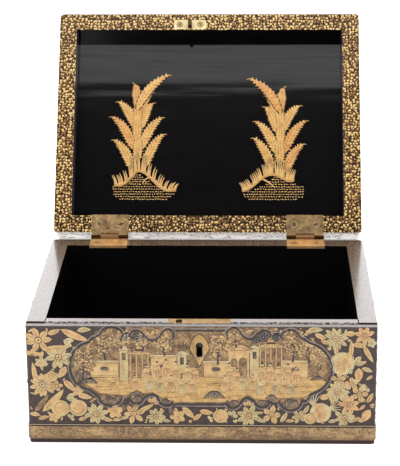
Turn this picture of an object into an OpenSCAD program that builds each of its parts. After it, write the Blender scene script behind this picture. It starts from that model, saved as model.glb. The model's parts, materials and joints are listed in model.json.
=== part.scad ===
// Lacquered box for deeds and papers, with its lid standing open on stop hinges
// and a brass cut lock let into the front board.
// The origin is the middle of the underside. The front faces -Y and the top faces +Z.

/* [Box] */
// Width of the box, left to right
body_w = 300; // [250:1:380]
// Depth of the box, front to back
body_d = 227; // [180:1:300]
// Height of the rim above the table
body_h = 109; // [85:1:160]
// Thickness of the front and back boards
front_t = 17.8; // [15:0.1:24]
// Thickness of the side boards
side_t = 16; // [12:0.1:24]
// Part of the front and back boards that laps over the ends of the side boards
lap_t = 9; // [6:0.1:12]
// Radius of the upright corners
corner_r = 3.5; // [1:0.1:5]

/* [Foot and plinth] */
// Thickness of the foot, the part of the bottom board that shows under the walls
foot_h = 4; // [3:0.1:8]
// How far the foot stands back from the faces of the walls
foot_in = 0.3; // [0.2:0.1:3]
// Thickness of the bottom board between the walls, above the foot
bottom_t = 7; // [4:0.1:12]
// Height of the plinth band
band_h = 12; // [8:0.1:20]
// How far the plinth band stands out from the walls
band_out = 0.8; // [0.4:0.1:2]
// How far the plinth is let into the walls
band_in = 2.2; // [1:0.1:4]
// Height of the bead that runs along the top of the plinth
bead_h = 1.4; // [0.8:0.1:3]
// How far the bead stands out from the walls
bead_out = 0.4; // [0.2:0.1:1]
// Height of the groove between the band and the bead
groove_h = 0.6; // [0.4:0.1:1.5]
// Depth of that groove below the faces of the walls
groove_in = 0.4; // [0.2:0.1:0.8]

/* [Lid] */
// Depth of the hollow of the lid
lid_hollow = 21.5; // [16:0.5:60]
// Thickness of the lid's panel
panel_t = 9; // [6:0.1:14]
// Width of the ledge in the rails that carries the panel
panel_seat = 8.4; // [4:0.1:12]
// How much thinner the lid's rails are than the front board
rail_less = 0.9; // [0:0.1:3]
// Radius of the lid's top edges
lid_edge_r = 3; // [1:0.1:5]
// Gap between the two rims when the lid is shut
seam = 0.2; // [0.1:0.1:1]
// Angle that the lid turns through from shut to its stop
open_angle = 123.3; // [100:0.1:135]

/* [Hinges] */
// Distance from the end of the box to a hinge
hinge_in = 37; // [28:0.5:60]
// Length of a hinge along its pin
leaf_w = 36; // [28:0.5:50]
// Thickness of a hinge leaf
leaf_t = 2.4; // [2.3:0.1:4]
// Distance of the pin's axis behind the back board
pin_back = 5.3; // [5.2:0.1:9]
// Radius of the hinge pin
pin_r = 1.2; // [0.8:0.1:1.6]
// Radial clearance of the pin in its knuckles
pin_gap = 0.06; // [0.02:0.01:0.1]
// Outer radius of the knuckles
knuckle_r = 2.7; // [2.4:0.1:3]
// Length of the middle knuckle
mid_knuckle = 17.6; // [10:0.1:24]
// Gap between knuckles, side by side
knuckle_gap = 0.15; // [0.1:0.05:0.4]
// Gap between a knuckle and the edge of the other leaf
knuckle_clear = 0.3; // [0.2:0.05:0.6]
// Height of the heel that stops the lid
heel_h = 4; // [3:0.1:4.2]
// Gap left between the heel and the lower leaf when the lid is open
stop_gap = 0.1; // [0.05:0.05:0.3]
// How far the lower leaf reaches over the inside of the box
lower_over = 0.8; // [0:0.1:3]
// How far the upper leaf reaches over the hollow of the lid
upper_over = 1; // [0:0.1:3]
// Distance between the two screws of a leaf
leaf_pitch = 21.6; // [18:0.1:26]

/* [Screws] */
// Head radius of the hinge screws
leaf_head = 3.6; // [2.8:0.1:4.2]
// Shank radius of the hinge screws
leaf_shank = 1.7; // [1.2:0.1:2]
// Length of the hinge screws
leaf_screw_l = 14; // [9:0.5:20]
// Head radius of the link plate's screws
link_head = 2.7; // [2.2:0.1:3.4]
// Shank radius of the link plate's screws
link_shank = 1.3; // [1:0.1:1.6]
// Length of the link plate's screws
link_screw_l = 10; // [7:0.5:16]
// Head radius of the lock's screws
lock_head = 2.4; // [2:0.1:3]
// Shank radius of the lock's screws
lock_shank = 1.2; // [0.9:0.1:1.6]
// Length of the lock's screws
lock_screw_l = 12.5; // [11.5:0.5:13.5]
// Clearance round a screw
screw_gap = 0.05; // [0.02:0.01:0.1]
// Width of the slot in a screw head
slot_cut = 0.8; // [0.5:0.1:1.2]
// Depth of the slot in a screw head
slot_deep = 0.7; // [0.4:0.1:1]

/* [Lock] */
// Place of the keyhole, to the left of the middle of the front
key_left = 1.5; // [0:0.5:10]
// Distance of the key's axis below the rim
key_down = 17.8; // [16:0.1:24]
// Length of the lock's top plate
lock_w = 54; // [54:0.5:66]
// Depth of the lock, from the inside face of the front board
lock_depth = 10.4; // [9.8:0.1:12]
// Thickness of the lock's top plate
plate_t = 2; // [1.2:0.1:3]
// Height of the lock's case below the top plate
case_h = 36; // [34:0.5:46]
// Width of the lock's case
case_w = 50; // [50:0.5:54]
// Wall thickness of the lock's case
case_wall = 1.2; // [0.8:0.1:1.4]
// Thickness of the cap that closes the case
cap_t = 1.5; // [1.2:0.1:2]
// Distance of the lock's screws from the sides of its case
lock_screw_in = 3; // [2.8:0.1:3.4]
// Distance of the upper lock screws below the rim
lock_screw_top = 18; // [17.5:0.5:19]
// Distance of the lower lock screws below the rim
lock_screw_low = 33.5; // [28:0.5:34]

/* [Bolt] */
// Height of the bolt's nose
nose_h = 4; // [3:0.1:4.4]
// Length of the bolt's nose
nose_l = 7; // [6:0.1:8]
// Thickness of the bolt
bolt_t = 3; // [2:0.1:3.2]
// Length of the bolt behind its nose
bolt_l = 26.4; // [25:0.1:28]
// Height of the bolt behind its nose
bolt_h = 10; // [9.6:0.1:10.5]
// Distance of the top of the bolt below the rim
bolt_down = 4; // [3.8:0.1:4.5]
// Travel of the bolt
throw = 7; // [5.5:0.1:7.2]
// Width of the talon, the notch that the key pushes
talon_w = 7; // [5:0.1:8]
// Depth of the talon
talon_h = 3.8; // [3:0.1:4]
// Radius of the stump that guides the bolt
stump_r = 1.5; // [1:0.1:1.6]
// Clearance of the stump in the bolt's slot
stump_gap = 0.1; // [0.05:0.01:0.2]
// Place of the stump, to the right of the key's axis
stump_x = 4.5; // [4:0.1:6]
// Thickness of the bolt's bow spring
spring_t = 0.5; // [0.3:0.1:0.7]
// Gap between the bow spring and the lock's top plate
spring_gap = 0.3; // [0.2:0.05:0.5]

/* [Keyhole] */
// Radius of the round head of the keyhole
hole_r = 3.1; // [2.5:0.05:3.5]
// Width of the keyhole below its head
hole_w = 5.2; // [3.6:0.1:5.4]
// Depth of the keyhole below the key's axis
hole_l = 10.1; // [8:0.1:12]
// Width of the keyhole's escutcheon
plate_w = 16; // [13:0.1:20]
// Height of the escutcheon above its widest place
plate_up = 13.6; // [10.5:0.1:16]
// Height of the escutcheon below its widest place
plate_low = 15.8; // [13:0.1:20]
// Distance of the escutcheon's widest place below the key's axis
plate_mid = 2.7; // [1:0.1:4]
// How far the escutcheon is let into the front board
plate_in = 0.9; // [0.5:0.1:1.5]
// How far the escutcheon stands out of the front board
plate_out = 0.3; // [0.1:0.1:0.6]
// Radius of the drill pin that the key turns on
drill_r = 1.2; // [0.8:0.1:1.4]
// How far the drill pin stays behind the front of the lock's case
drill_back = 0.6; // [0.2:0.1:1]
// Outer radius of the ring ward
ward_r = 5.2; // [4.4:0.1:6]
// Thickness of the ring ward
ward_t = 0.8; // [0.5:0.1:1.2]
// Height of the ring ward
ward_h = 1.9; // [1:0.1:2]

/* [Link plate] */
// Distance of the staple to the left of the keyhole
staple_left = 17.7; // [17:0.1:18.5]
// Distance of the staple's middle from the inside face of the front board
staple_in = 5.3; // [5:0.1:5.6]
// Thickness of the staple
staple_t = 3.6; // [3:0.1:4]
// Width of the staple
staple_w = 6.2; // [5.8:0.1:6.6]
// How far the staple stands out of its plate
staple_l = 10; // [9:0.1:11]
// Clearance of the staple in the lock's slot, on each side
slot_side = 0.8; // [0.7:0.05:1]
// Clearance of the staple in the lock's slot, front and back
slot_end = 0.6; // [0.5:0.05:0.8]
// Clearance of the bolt's nose in the staple's eye
eye_gap = 0.3; // [0.2:0.05:0.4]
// Length of the link plate
link_w = 32.2; // [28:0.1:40]
// Width of the link plate
link_d = 9.7; // [9:0.1:10.2]
// Thickness of the link plate
link_t = 1.8; // [1.2:0.1:2.4]
// Distance of the link plate's middle in front of the staple's
link_off = 1.2; // [0.6:0.1:1.4]
// Distance between the two screws of the link plate
link_pitch = 20.6; // [16:0.1:22]

/* [Hidden] */
$fn = 48;
lacquer = [0.16, 0.12, 0.10];
gilt_band = [0.52, 0.38, 0.20];
brass = [0.80, 0.62, 0.32];
old_brass = [0.66, 0.50, 0.26];
steel = [0.45, 0.44, 0.42];
// cutters run this far past the faces that they open
cut = 1;
// reach of the mitre cutter on each side of a wall's face
mitre = 8;
// share of a screw's length that its point takes, and the point's end radius
tip_share = 0.2;
tip_r = 0.3;
// height of a screw's head as a share of its radius
head_share = 0.62;
lock_head_share = 0.527;
// how far a hinge pin stays inside the ends of its knuckles
pin_short = 0.2;
// turns of the slots in the screw heads: a first angle and a step from screw to screw
lower_slots = [60, 50];
upper_slots = [20, -35];
link_slots = [0, 70];
// side of the square that bevels the keyhole's lower corners
hole_bevel = 1.4;
// share of the bolt's length that half of its spring takes
spring_share = 0.42;
// distance of the stump below the top of the bolt
stump_drop = 3.2;
arc_sides = 96;
spring_sides = 180;

front_y = -body_d / 2;
back_y = body_d / 2;
front_in = front_y + front_t;
back_in = back_y - front_t;
side_in = body_w / 2 - side_t;
plinth_h = band_h + groove_h + bead_h;

rim = body_h + seam;
rail_t = front_t - rail_less;
lid_lap = lap_t - rail_less / 2;
rail_h = lid_hollow + panel_t;
lid_top = rim + rail_h;
rail_in = body_w / 2 - rail_t;

pin_y = back_y + pin_back;
pin_z = body_h + seam / 2;
hinge_x = body_w / 2 - hinge_in - leaf_w / 2;
stop_r = knuckle_r + knuckle_clear;
end_knuckle = (leaf_w - mid_knuckle) / 2 - knuckle_gap;
leaf_head_h = head_share * leaf_head;

lock_x = -key_left;
staple_x = lock_x - staple_left;
staple_y = front_in - staple_in;
slot_w = staple_t + 2 * slot_side;
slot_l = staple_w + 2 * slot_end;
eye_y = bolt_t + 2 * eye_gap;
eye_z = nose_h + 2 * eye_gap;
link_head_h = head_share * link_head;
lock_head_h = lock_head_share * lock_head;
link_y = staple_y - link_off;

// place of the bolt's nose tip and shoulder from the key's axis, with the bolt drawn back
nose_back = 0.2;
nose_x = -staple_left + slot_w / 2 + nose_back;
shoulder_x = nose_x + nose_l;
nose_drop = 0.5;
nose_mid = bolt_down + nose_drop + nose_h / 2;
stump_down = bolt_down + stump_drop;

// A block with its four upright edges rounded.
module rounded_block(w, d, r, z0, h) {
    translate([-w / 2 + r, -d / 2, z0]) cube([w - 2 * r, d, h]);
    translate([-w / 2, -d / 2 + r, z0]) cube([w, d - 2 * r, h]);
    for (x = [-1, 1], y = [-1, 1])
        translate([x * (w / 2 - r), y * (d / 2 - r), z0]) cylinder(h = h, r = r);
}

// A slotted countersunk wood screw, with its head's face at the origin, pointing down.
module screw(head, head_h, shank, length) {
    tip = tip_share * length;
    difference() {
        union() {
            translate([0, 0, -head_h]) cylinder(h = head_h, r1 = shank, r2 = head);
            translate([0, 0, tip - length]) cylinder(h = length - tip - head_h, r = shank);
            translate([0, 0, -length]) cylinder(h = tip, r1 = tip_r, r2 = shank);
        }
        translate([-head - cut, -slot_cut / 2, -slot_deep])
            cube([2 * head + 2 * cut, slot_cut, slot_deep + cut]);
    }
}

// The hole that such a screw fills.
module screw_hole(head, head_h, shank, length) {
    translate([0, 0, -head_h])
        cylinder(h = head_h, r1 = shank + screw_gap, r2 = head + screw_gap);
    cylinder(h = cut, r = head + screw_gap);
    translate([0, 0, -length - screw_gap]) cylinder(h = length, r = shank + screw_gap);
}

// The space that the plinth takes out of the walls.
module plinth_space() {
    difference() {
        translate([-body_w / 2 - cut, front_y - cut, foot_h - cut])
            cube([body_w + 2 * cut, body_d + 2 * cut, plinth_h + cut]);
        translate([-body_w / 2 + band_in, front_y + band_in, foot_h - 2 * cut])
            cube([body_w - 2 * band_in, body_d - 2 * band_in, plinth_h + 3 * cut]);
    }
}

// A board that laps over the side boards' ends, with its outer face on the plane of the front.
module lapped_board(thick, lap, side, z0, h) {
    difference() {
        translate([-body_w / 2, front_y, z0]) cube([body_w, thick, h]);
        for (s = [-1, 1])
            translate([s * (body_w / 2 - side / 2) - side / 2 - (s < 0 ? cut : 0),
                    front_y + lap, z0 - cut])
                cube([side + cut, thick, h + 2 * cut]);
    }
}

// A strip of plinth for a wall of this length, with the wall's face on y = 0, facing -Y.
module plinth_strip(length) {
    intersection() {
        translate([-length / 2 - mitre, 0, 0]) rotate([90, 0, 90])
            linear_extrude(height = length + 2 * mitre)
                polygon([[band_in, 0], [-band_out, 0], [-band_out, band_h],
                    [groove_in, band_h], [groove_in, band_h + groove_h],
                    [-bead_out, band_h + groove_h], [-bead_out, plinth_h],
                    [band_in, plinth_h]]);
        translate([0, 0, -cut]) linear_extrude(height = plinth_h + 2 * cut)
            polygon([[-length / 2 - mitre, -mitre], [length / 2 + mitre, -mitre],
                [length / 2 - mitre, mitre], [-length / 2 + mitre, mitre]]);
    }
}

// The strip on one side, turned from the front by this angle, with its corners rounded.
module plinth(turn, length, away) {
    color(gilt_band) intersection() {
        rotate([0, 0, turn]) translate([0, -away, foot_h]) plinth_strip(length);
        rounded_block(body_w + 2 * band_out, body_d + 2 * band_out,
            corner_r + band_out, foot_h - cut, plinth_h + 2 * cut);
    }
}

// The lock's own frame: the key's axis in x, the front board's inside face, the rim.
module at_lock() {
    translate([lock_x, front_in, body_h]) children();
}

module key_profile() {
    circle(r = hole_r);
    difference() {
        translate([-hole_w / 2, -hole_l]) square([hole_w, hole_l]);
        for (s = [-1, 1])
            translate([s * hole_w / 2, -hole_l]) rotate(45)
                square(hole_bevel, center = true);
    }
}

// The keyhole, run through everything between these two depths from the front face.
module key_cut(from, to) {
    translate([lock_x, front_y + to, body_h - key_down]) rotate([90, 0, 0])
        linear_extrude(height = to - from) key_profile();
}

module escutcheon_outline() {
    half = plate_w / 2;
    arc_r = (half * half + plate_up * plate_up) / (2 * half);
    intersection() {
        translate([arc_r - half, 0]) circle(r = arc_r, $fn = arc_sides);
        translate([half - arc_r, 0]) circle(r = arc_r, $fn = arc_sides);
        translate([-half, 0]) square([plate_w, plate_up]);
    }
    polygon([[-half, 0], [0, -plate_low], [half, 0]]);
}

module escutcheon_block(thick) {
    translate([lock_x, front_y + plate_in, body_h - key_down - plate_mid]) rotate([90, 0, 0])
        linear_extrude(height = thick) escutcheon_outline();
}

module at_lock_screws() {
    for (x = [-1, 1], z = [lock_screw_top, lock_screw_low])
        at_lock() translate([x * (case_w / 2 - lock_screw_in), 0, -z]) rotate([-90, 0, 0])
            children();
}

module at_lower_screws(side) {
    for (s = [-1, 1])
        translate([side * hinge_x + s * leaf_pitch / 2, back_y - front_t / 2, body_h])
            rotate([0, 0, lower_slots[0] + lower_slots[1] * s]) children();
}

module at_upper_screws(side) {
    for (s = [-1, 1])
        translate([side * hinge_x + s * leaf_pitch / 2, back_y - rail_t / 2, rim])
            rotate([180, 0, upper_slots[0] + upper_slots[1] * s]) children();
}

module at_link_screws() {
    for (s = [-1, 1])
        translate([staple_x + s * link_pitch / 2, link_y, rim])
            rotate([180, 0, link_slots[0] + link_slots[1] * s]) children();
}

// A barrel along X round the hinge's axis, from its middle.
module barrel(x, length, r) {
    translate([x - length / 2, pin_y, pin_z]) rotate([0, 90, 0]) cylinder(h = length, r = r);
}

// Turns a piece of the shut lid to where it stands open.
module on_lid() {
    translate([0, pin_y, pin_z]) rotate([-open_angle, 0, 0]) translate([0, -pin_y, -pin_z])
        children();
}

// The lid's outside, with rounded corners and top edges.
module lid_outside() {
    r = lid_edge_r;
    reach = rail_h + cut;
    intersection() {
        rounded_block(body_w, body_d, corner_r, rim - cut, reach);
        union() {
            translate([-body_w / 2, front_y, rim - cut]) cube([body_w, body_d, reach - r]);
            translate([-body_w / 2, front_y + r, rim - cut])
                cube([body_w, body_d - 2 * r, reach]);
            for (y = [front_y + r, back_y - r])
                translate([-body_w / 2, y, lid_top - r]) rotate([0, 90, 0])
                    cylinder(h = body_w, r = r);
        }
        union() {
            translate([-body_w / 2, front_y, rim - cut]) cube([body_w, body_d, reach - r]);
            translate([-body_w / 2 + r, front_y, rim - cut])
                cube([body_w - 2 * r, body_d, reach]);
            for (x = [-body_w / 2 + r, body_w / 2 - r])
                translate([x, front_y, lid_top - r]) rotate([-90, 0, 0])
                    cylinder(h = body_d, r = r);
        }
    }
}

// The panel's own space in the tops of the rails.
module panel_space(extra) {
    half_x = rail_in + panel_seat;
    half_y = body_d / 2 - rail_t + panel_seat;
    translate([-half_x, -half_y, lid_top - panel_t])
        cube([2 * half_x, 2 * half_y, panel_t + extra]);
}

module front_wall() {
    color(lacquer) difference() {
        intersection() {
            lapped_board(front_t, lap_t, side_t, foot_h, body_h - foot_h);
            rounded_block(body_w, body_d, corner_r, foot_h, body_h - foot_h);
        }
        plinth_space();
        at_lock() translate([-case_w / 2, -lock_depth, -plate_t - case_h])
            cube([case_w, lock_depth + cut, plate_t + case_h + cut]);
        at_lock() translate([-lock_w / 2, -cap_t, -plate_t - case_h])
            cube([lock_w, cap_t + cut, plate_t + case_h + cut]);
        at_lock() translate([-lock_w / 2, -lock_depth, -plate_t])
            cube([lock_w, lock_depth + cut, plate_t + cut]);
        at_lock_screws() screw_hole(lock_head, lock_head_h, lock_shank, lock_screw_l);
        escutcheon_block(plate_in + cut);
        key_cut(-cut, front_t - lock_depth + cut);
    }
}

module back_wall() {
    color(lacquer) difference() {
        intersection() {
            rotate([0, 0, 180])
                lapped_board(front_t, lap_t, side_t, foot_h, body_h - foot_h);
            rounded_block(body_w, body_d, corner_r, foot_h, body_h - foot_h);
        }
        plinth_space();
        for (side = [-1, 1]) {
            translate([side * hinge_x - leaf_w / 2, back_in - cut, body_h - leaf_t])
                cube([leaf_w, front_t + 2 * cut, leaf_t + cut]);
            at_lower_screws(side)
                screw_hole(leaf_head, leaf_head_h, leaf_shank, leaf_screw_l);
        }
    }
}

module side_wall(side) {
    color(lacquer) difference() {
        intersection() {
            translate([side > 0 ? side_in : -body_w / 2, front_y + lap_t, foot_h])
                cube([side_t, body_d - 2 * lap_t, body_h - foot_h]);
            rounded_block(body_w, body_d, corner_r, foot_h, body_h - foot_h);
        }
        plinth_space();
    }
}

module bottom_board() {
    color(lacquer) {
        rounded_block(body_w - 2 * foot_in, body_d - 2 * foot_in, corner_r, 0, foot_h);
        translate([-side_in, front_in, foot_h - cut])
            cube([2 * side_in, back_in - front_in, bottom_t + cut]);
    }
}

module lower_leaf(side) {
    from_y = back_in - lower_over;
    color(brass) difference() {
        union() {
            translate([side * hinge_x - leaf_w / 2, from_y, body_h - leaf_t])
                cube([leaf_w, pin_y - stop_r - from_y, leaf_t]);
            translate([side * hinge_x - mid_knuckle / 2, from_y, body_h - leaf_t])
                cube([mid_knuckle, pin_y - from_y, leaf_t]);
            barrel(side * hinge_x, mid_knuckle, knuckle_r);
        }
        barrel(side * hinge_x, leaf_w, pin_r + pin_gap);
        at_lower_screws(side) screw_hole(leaf_head, leaf_head_h, leaf_shank, leaf_screw_l);
    }
}

module lower_screws(side) {
    color(old_brass) at_lower_screws(side)
        screw(leaf_head, leaf_head_h, leaf_shank, leaf_screw_l);
}

module hinge_pin(side) {
    color(old_brass) barrel(side * hinge_x, leaf_w - 2 * pin_short, pin_r);
}

module upper_leaf(side) {
    from_y = back_y - rail_t - upper_over;
    heel = stop_r - stop_gap;
    color(brass) on_lid() difference() {
        union() {
            translate([side * hinge_x - leaf_w / 2, from_y, rim])
                cube([leaf_w, pin_y - stop_r - from_y, leaf_t]);
            for (s = [-1, 1]) {
                x = side * hinge_x + s * (leaf_w - end_knuckle) / 2;
                translate([x - end_knuckle / 2, from_y, rim])
                    cube([end_knuckle, pin_y - from_y, leaf_t]);
                barrel(x, end_knuckle, knuckle_r);
                translate([x - end_knuckle / 2, pin_y, pin_z]) rotate([open_angle, 0, 0])
                    translate([0, -heel, -heel_h]) cube([end_knuckle, heel, heel_h]);
            }
        }
        barrel(side * hinge_x, leaf_w + 2 * cut, pin_r + pin_gap);
        at_upper_screws(side) screw_hole(leaf_head, leaf_head_h, leaf_shank, leaf_screw_l);
    }
}

module upper_screws(side) {
    color(old_brass) on_lid() at_upper_screws(side)
        screw(leaf_head, leaf_head_h, leaf_shank, leaf_screw_l);
}

module lock_plate() {
    color(brass) difference() {
        at_lock() translate([-lock_w / 2, -lock_depth, -plate_t])
            cube([lock_w, lock_depth, plate_t]);
        translate([staple_x - slot_w / 2, staple_y - slot_l / 2, body_h - plate_t - cut])
            cube([slot_w, slot_l, plate_t + 2 * cut]);
    }
}

module lock_case() {
    color(old_brass) {
        difference() {
            at_lock() translate([-case_w / 2, -lock_depth, -plate_t - case_h])
                cube([case_w, lock_depth - cap_t, case_h]);
            at_lock() translate([-case_w / 2 + case_wall, -lock_depth + case_wall,
                    -plate_t - case_h + case_wall])
                cube([case_w - 2 * case_wall, lock_depth, case_h]);
            key_cut(front_t - lock_depth - cut, front_t - lock_depth + case_wall + cut);
            at_lock_screws() screw_hole(lock_head, lock_head_h, lock_shank, lock_screw_l);
        }
        at_lock() translate([stump_x, -cap_t, -stump_down]) rotate([90, 0, 0])
            cylinder(h = lock_depth - cap_t - case_wall / 2, r = stump_r);
    }
}

module lock_cap() {
    color(brass) difference() {
        at_lock() translate([-lock_w / 2, -cap_t, -plate_t - case_h])
            cube([lock_w, cap_t, case_h]);
        at_lock_screws() screw_hole(lock_head, lock_head_h, lock_shank, lock_screw_l);
    }
}

module lock_bolt() {
    slot_r = stump_r + stump_gap;
    color(steel) at_lock() difference() {
        translate([0, -staple_in - bolt_t / 2, 0]) union() {
            translate([nose_x, 0, -nose_mid - nose_h / 2])
                cube([nose_l + cut, bolt_t, nose_h]);
            translate([shoulder_x, 0, -bolt_down - bolt_h]) cube([bolt_l, bolt_t, bolt_h]);
        }
        translate([0, -staple_in + bolt_t / 2 + cut, 0]) {
            for (x = [stump_x, stump_x + throw])
                translate([x, 0, -stump_down]) rotate([90, 0, 0])
                    cylinder(h = bolt_t + 2 * cut, r = slot_r);
            translate([stump_x, -bolt_t - 2 * cut, -stump_down - slot_r])
                cube([throw, bolt_t + 2 * cut, 2 * slot_r]);
            translate([throw / 2 - talon_w / 2, -bolt_t - 2 * cut, -bolt_down - bolt_h - cut])
                cube([talon_w, bolt_t + 2 * cut, talon_h + cut]);
        }
    }
}

module bolt_spring() {
    rise = bolt_down - plate_t - spring_gap;
    half = bolt_l * spring_share;
    mid = shoulder_x + bolt_l / 2;
    big = (half * half + rise * rise) / (2 * rise);
    color(steel) at_lock() translate([mid, -staple_in + bolt_t / 2, -bolt_down])
        rotate([90, 0, 0]) linear_extrude(height = bolt_t) intersection() {
            difference() {
                translate([0, rise - big]) circle(r = big, $fn = spring_sides);
                translate([0, rise - big]) circle(r = big - spring_t, $fn = spring_sides);
            }
            translate([-half, 0]) square([2 * half, rise + cut]);
        }
}

module drill_pin() {
    color(steel) at_lock() translate([0, -cap_t, -key_down]) rotate([90, 0, 0])
        cylinder(h = lock_depth - cap_t - drill_back, r = drill_r);
}

module lock_ward() {
    color(steel) at_lock() translate([0, -cap_t, -key_down]) rotate([90, 0, 0]) difference() {
        cylinder(h = ward_h, r = ward_r);
        translate([0, 0, -cut]) cylinder(h = ward_h + 2 * cut, r = ward_r - ward_t);
    }
}

module lock_screws() {
    color(old_brass) at_lock_screws()
        screw(lock_head, lock_head_h, lock_shank, lock_screw_l);
}

module keyhole_escutcheon() {
    color(brass) difference() {
        escutcheon_block(plate_in + plate_out);
        key_cut(-plate_out - cut, plate_in + cut);
    }
}

module lid_front_rail() {
    color(lacquer) on_lid() difference() {
        intersection() {
            lapped_board(rail_t, lid_lap, rail_t, rim, rail_h);
            lid_outside();
        }
        panel_space(cut);
        translate([staple_x - link_w / 2, link_y - link_d / 2, rim - cut])
            cube([link_w, link_d, link_t + cut]);
        at_link_screws() screw_hole(link_head, link_head_h, link_shank, link_screw_l);
    }
}

module lid_back_rail() {
    color(lacquer) on_lid() difference() {
        intersection() {
            rotate([0, 0, 180]) lapped_board(rail_t, lid_lap, rail_t, rim, rail_h);
            lid_outside();
        }
        panel_space(cut);
        for (side = [-1, 1]) {
            translate([side * hinge_x - leaf_w / 2, back_y - rail_t - cut, rim - cut])
                cube([leaf_w, rail_t + 2 * cut, leaf_t + cut]);
            at_upper_screws(side)
                screw_hole(leaf_head, leaf_head_h, leaf_shank, leaf_screw_l);
        }
    }
}

module lid_side_rail(side) {
    color(lacquer) on_lid() difference() {
        intersection() {
            translate([side > 0 ? rail_in : -body_w / 2, front_y + lid_lap, rim])
                cube([rail_t, body_d - 2 * lid_lap, rail_h]);
            lid_outside();
        }
        panel_space(cut);
    }
}

module lid_panel() {
    color(lacquer) on_lid() panel_space(0);
}

module link_plate() {
    color(brass) on_lid() difference() {
        translate([staple_x - link_w / 2, link_y - link_d / 2, rim])
            cube([link_w, link_d, link_t]);
        translate([staple_x - staple_t / 2, staple_y - staple_w / 2, rim - cut])
            cube([staple_t, staple_w, link_t + 2 * cut]);
        at_link_screws() screw_hole(link_head, link_head_h, link_shank, link_screw_l);
    }
}

module link_staple() {
    eye_at = rim - body_h + nose_mid;
    color(old_brass) on_lid() difference() {
        translate([staple_x - staple_t / 2, staple_y - staple_w / 2, rim - staple_l])
            cube([staple_t, staple_w, staple_l + link_t]);
        translate([staple_x - staple_t / 2 - cut, staple_y - eye_y / 2,
                rim - eye_at - eye_z / 2])
            cube([staple_t + 2 * cut, eye_y, eye_z]);
    }
}

module link_plate_screws() {
    color(old_brass) on_lid() at_link_screws()
        screw(link_head, link_head_h, link_shank, link_screw_l);
}

front_wall();
back_wall();
side_wall(-1);  // left_wall
side_wall(1);  // right_wall
bottom_board();
plinth(0, body_w, body_d / 2);  // front_plinth
plinth(180, body_w, body_d / 2);  // back_plinth
plinth(-90, body_d, body_w / 2);  // left_plinth
plinth(90, body_d, body_w / 2);  // right_plinth
lower_leaf(-1);  // left_lower_leaf
lower_leaf(1);  // right_lower_leaf
lower_screws(-1);  // left_lower_screws
lower_screws(1);  // right_lower_screws
hinge_pin(-1);  // left_hinge_pin
hinge_pin(1);  // right_hinge_pin
lock_plate();
lock_case();
lock_cap();
lock_bolt();
bolt_spring();
drill_pin();
lock_ward();
lock_screws();
keyhole_escutcheon();
lid_front_rail();
lid_back_rail();
lid_side_rail(-1);  // lid_left_rail
lid_side_rail(1);  // lid_right_rail
lid_panel();
upper_leaf(-1);  // left_upper_leaf
upper_leaf(1);  // right_upper_leaf
upper_screws(-1);  // left_upper_screws
upper_screws(1);  // right_upper_screws
link_plate();
link_staple();
link_plate_screws();
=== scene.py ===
import json
import math
import random

import bpy
from mathutils import Matrix, Vector


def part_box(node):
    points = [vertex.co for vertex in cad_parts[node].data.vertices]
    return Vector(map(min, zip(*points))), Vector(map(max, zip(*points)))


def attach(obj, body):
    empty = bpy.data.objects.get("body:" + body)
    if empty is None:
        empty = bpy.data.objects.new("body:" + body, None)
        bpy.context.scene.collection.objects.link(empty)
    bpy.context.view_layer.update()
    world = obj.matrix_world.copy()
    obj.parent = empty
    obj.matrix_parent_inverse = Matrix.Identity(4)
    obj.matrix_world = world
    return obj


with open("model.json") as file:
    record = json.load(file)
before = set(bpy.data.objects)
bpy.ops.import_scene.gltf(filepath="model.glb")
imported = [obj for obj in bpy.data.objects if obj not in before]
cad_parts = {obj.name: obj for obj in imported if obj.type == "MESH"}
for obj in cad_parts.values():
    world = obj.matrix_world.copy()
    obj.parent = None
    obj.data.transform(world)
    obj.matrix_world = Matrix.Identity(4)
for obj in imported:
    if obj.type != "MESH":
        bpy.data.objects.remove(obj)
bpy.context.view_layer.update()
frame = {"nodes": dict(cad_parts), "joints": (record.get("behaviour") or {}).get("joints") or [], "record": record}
nodes = frame["nodes"]
mm = 0.001  # the ornament is drawn in millimetres and made in metres
print("frame loaded:", len(nodes), "pieces")


# Places that everything else is worked out from

frontLow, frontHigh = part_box("front_wall")
backLow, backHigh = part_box("back_wall")
leftLow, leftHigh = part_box("left_wall")
rightLow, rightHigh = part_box("right_wall")
plinthLow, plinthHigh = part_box("front_plinth")
holeLow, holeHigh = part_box("keyhole_escutcheon")
halfWide = frontHigh.x / mm
halfDeep = backHigh.y / mm
rimHeight = frontHigh.z / mm
fieldLow = 18.8  # where the ornament starts, just above the plinth
keyX = (holeLow.x + holeHigh.x) / 2 / mm

lidJoint = next(j for j in frame["joints"] if j["name"] == "lid_hinge")
pin = Vector(lidJoint["pos_m"])
openAngle = -math.radians(lidJoint["range_deg"][0])
# carries a place on the shut lid to where it stands open
lidOpen = Matrix.Translation(pin) @ Matrix.Rotation(-openAngle, 4, "X") @ Matrix.Translation(-pin)
lidBack = lidOpen.inverted()


def shutBox(node):
    # lowest and highest corners of a lid piece, as if the lid were shut
    spots = [lidBack @ v.co for v in nodes[node].data.vertices]
    low = Vector([min(s[i] for s in spots) for i in range(3)])
    high = Vector([max(s[i] for s in spots) for i in range(3)])
    return low, high


railLow, railHigh = shutBox("lid_front_rail")
panelLow, panelHigh = shutBox("lid_panel")
lidRim = railLow.z / mm
lidTop = railHigh.z / mm
panelFace = panelLow.z / mm
railWide = (railHigh.y - railLow.y) / mm


# Camera, as the photograph was taken

cameraSet = {
    "place": (40.5, -1511.3, 667.0),  # mm
    "turn": 1.672,  # degrees to the left
    "down": 18.732,
    "roll": -0.386,
    "lens": 136.9,
}


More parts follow.
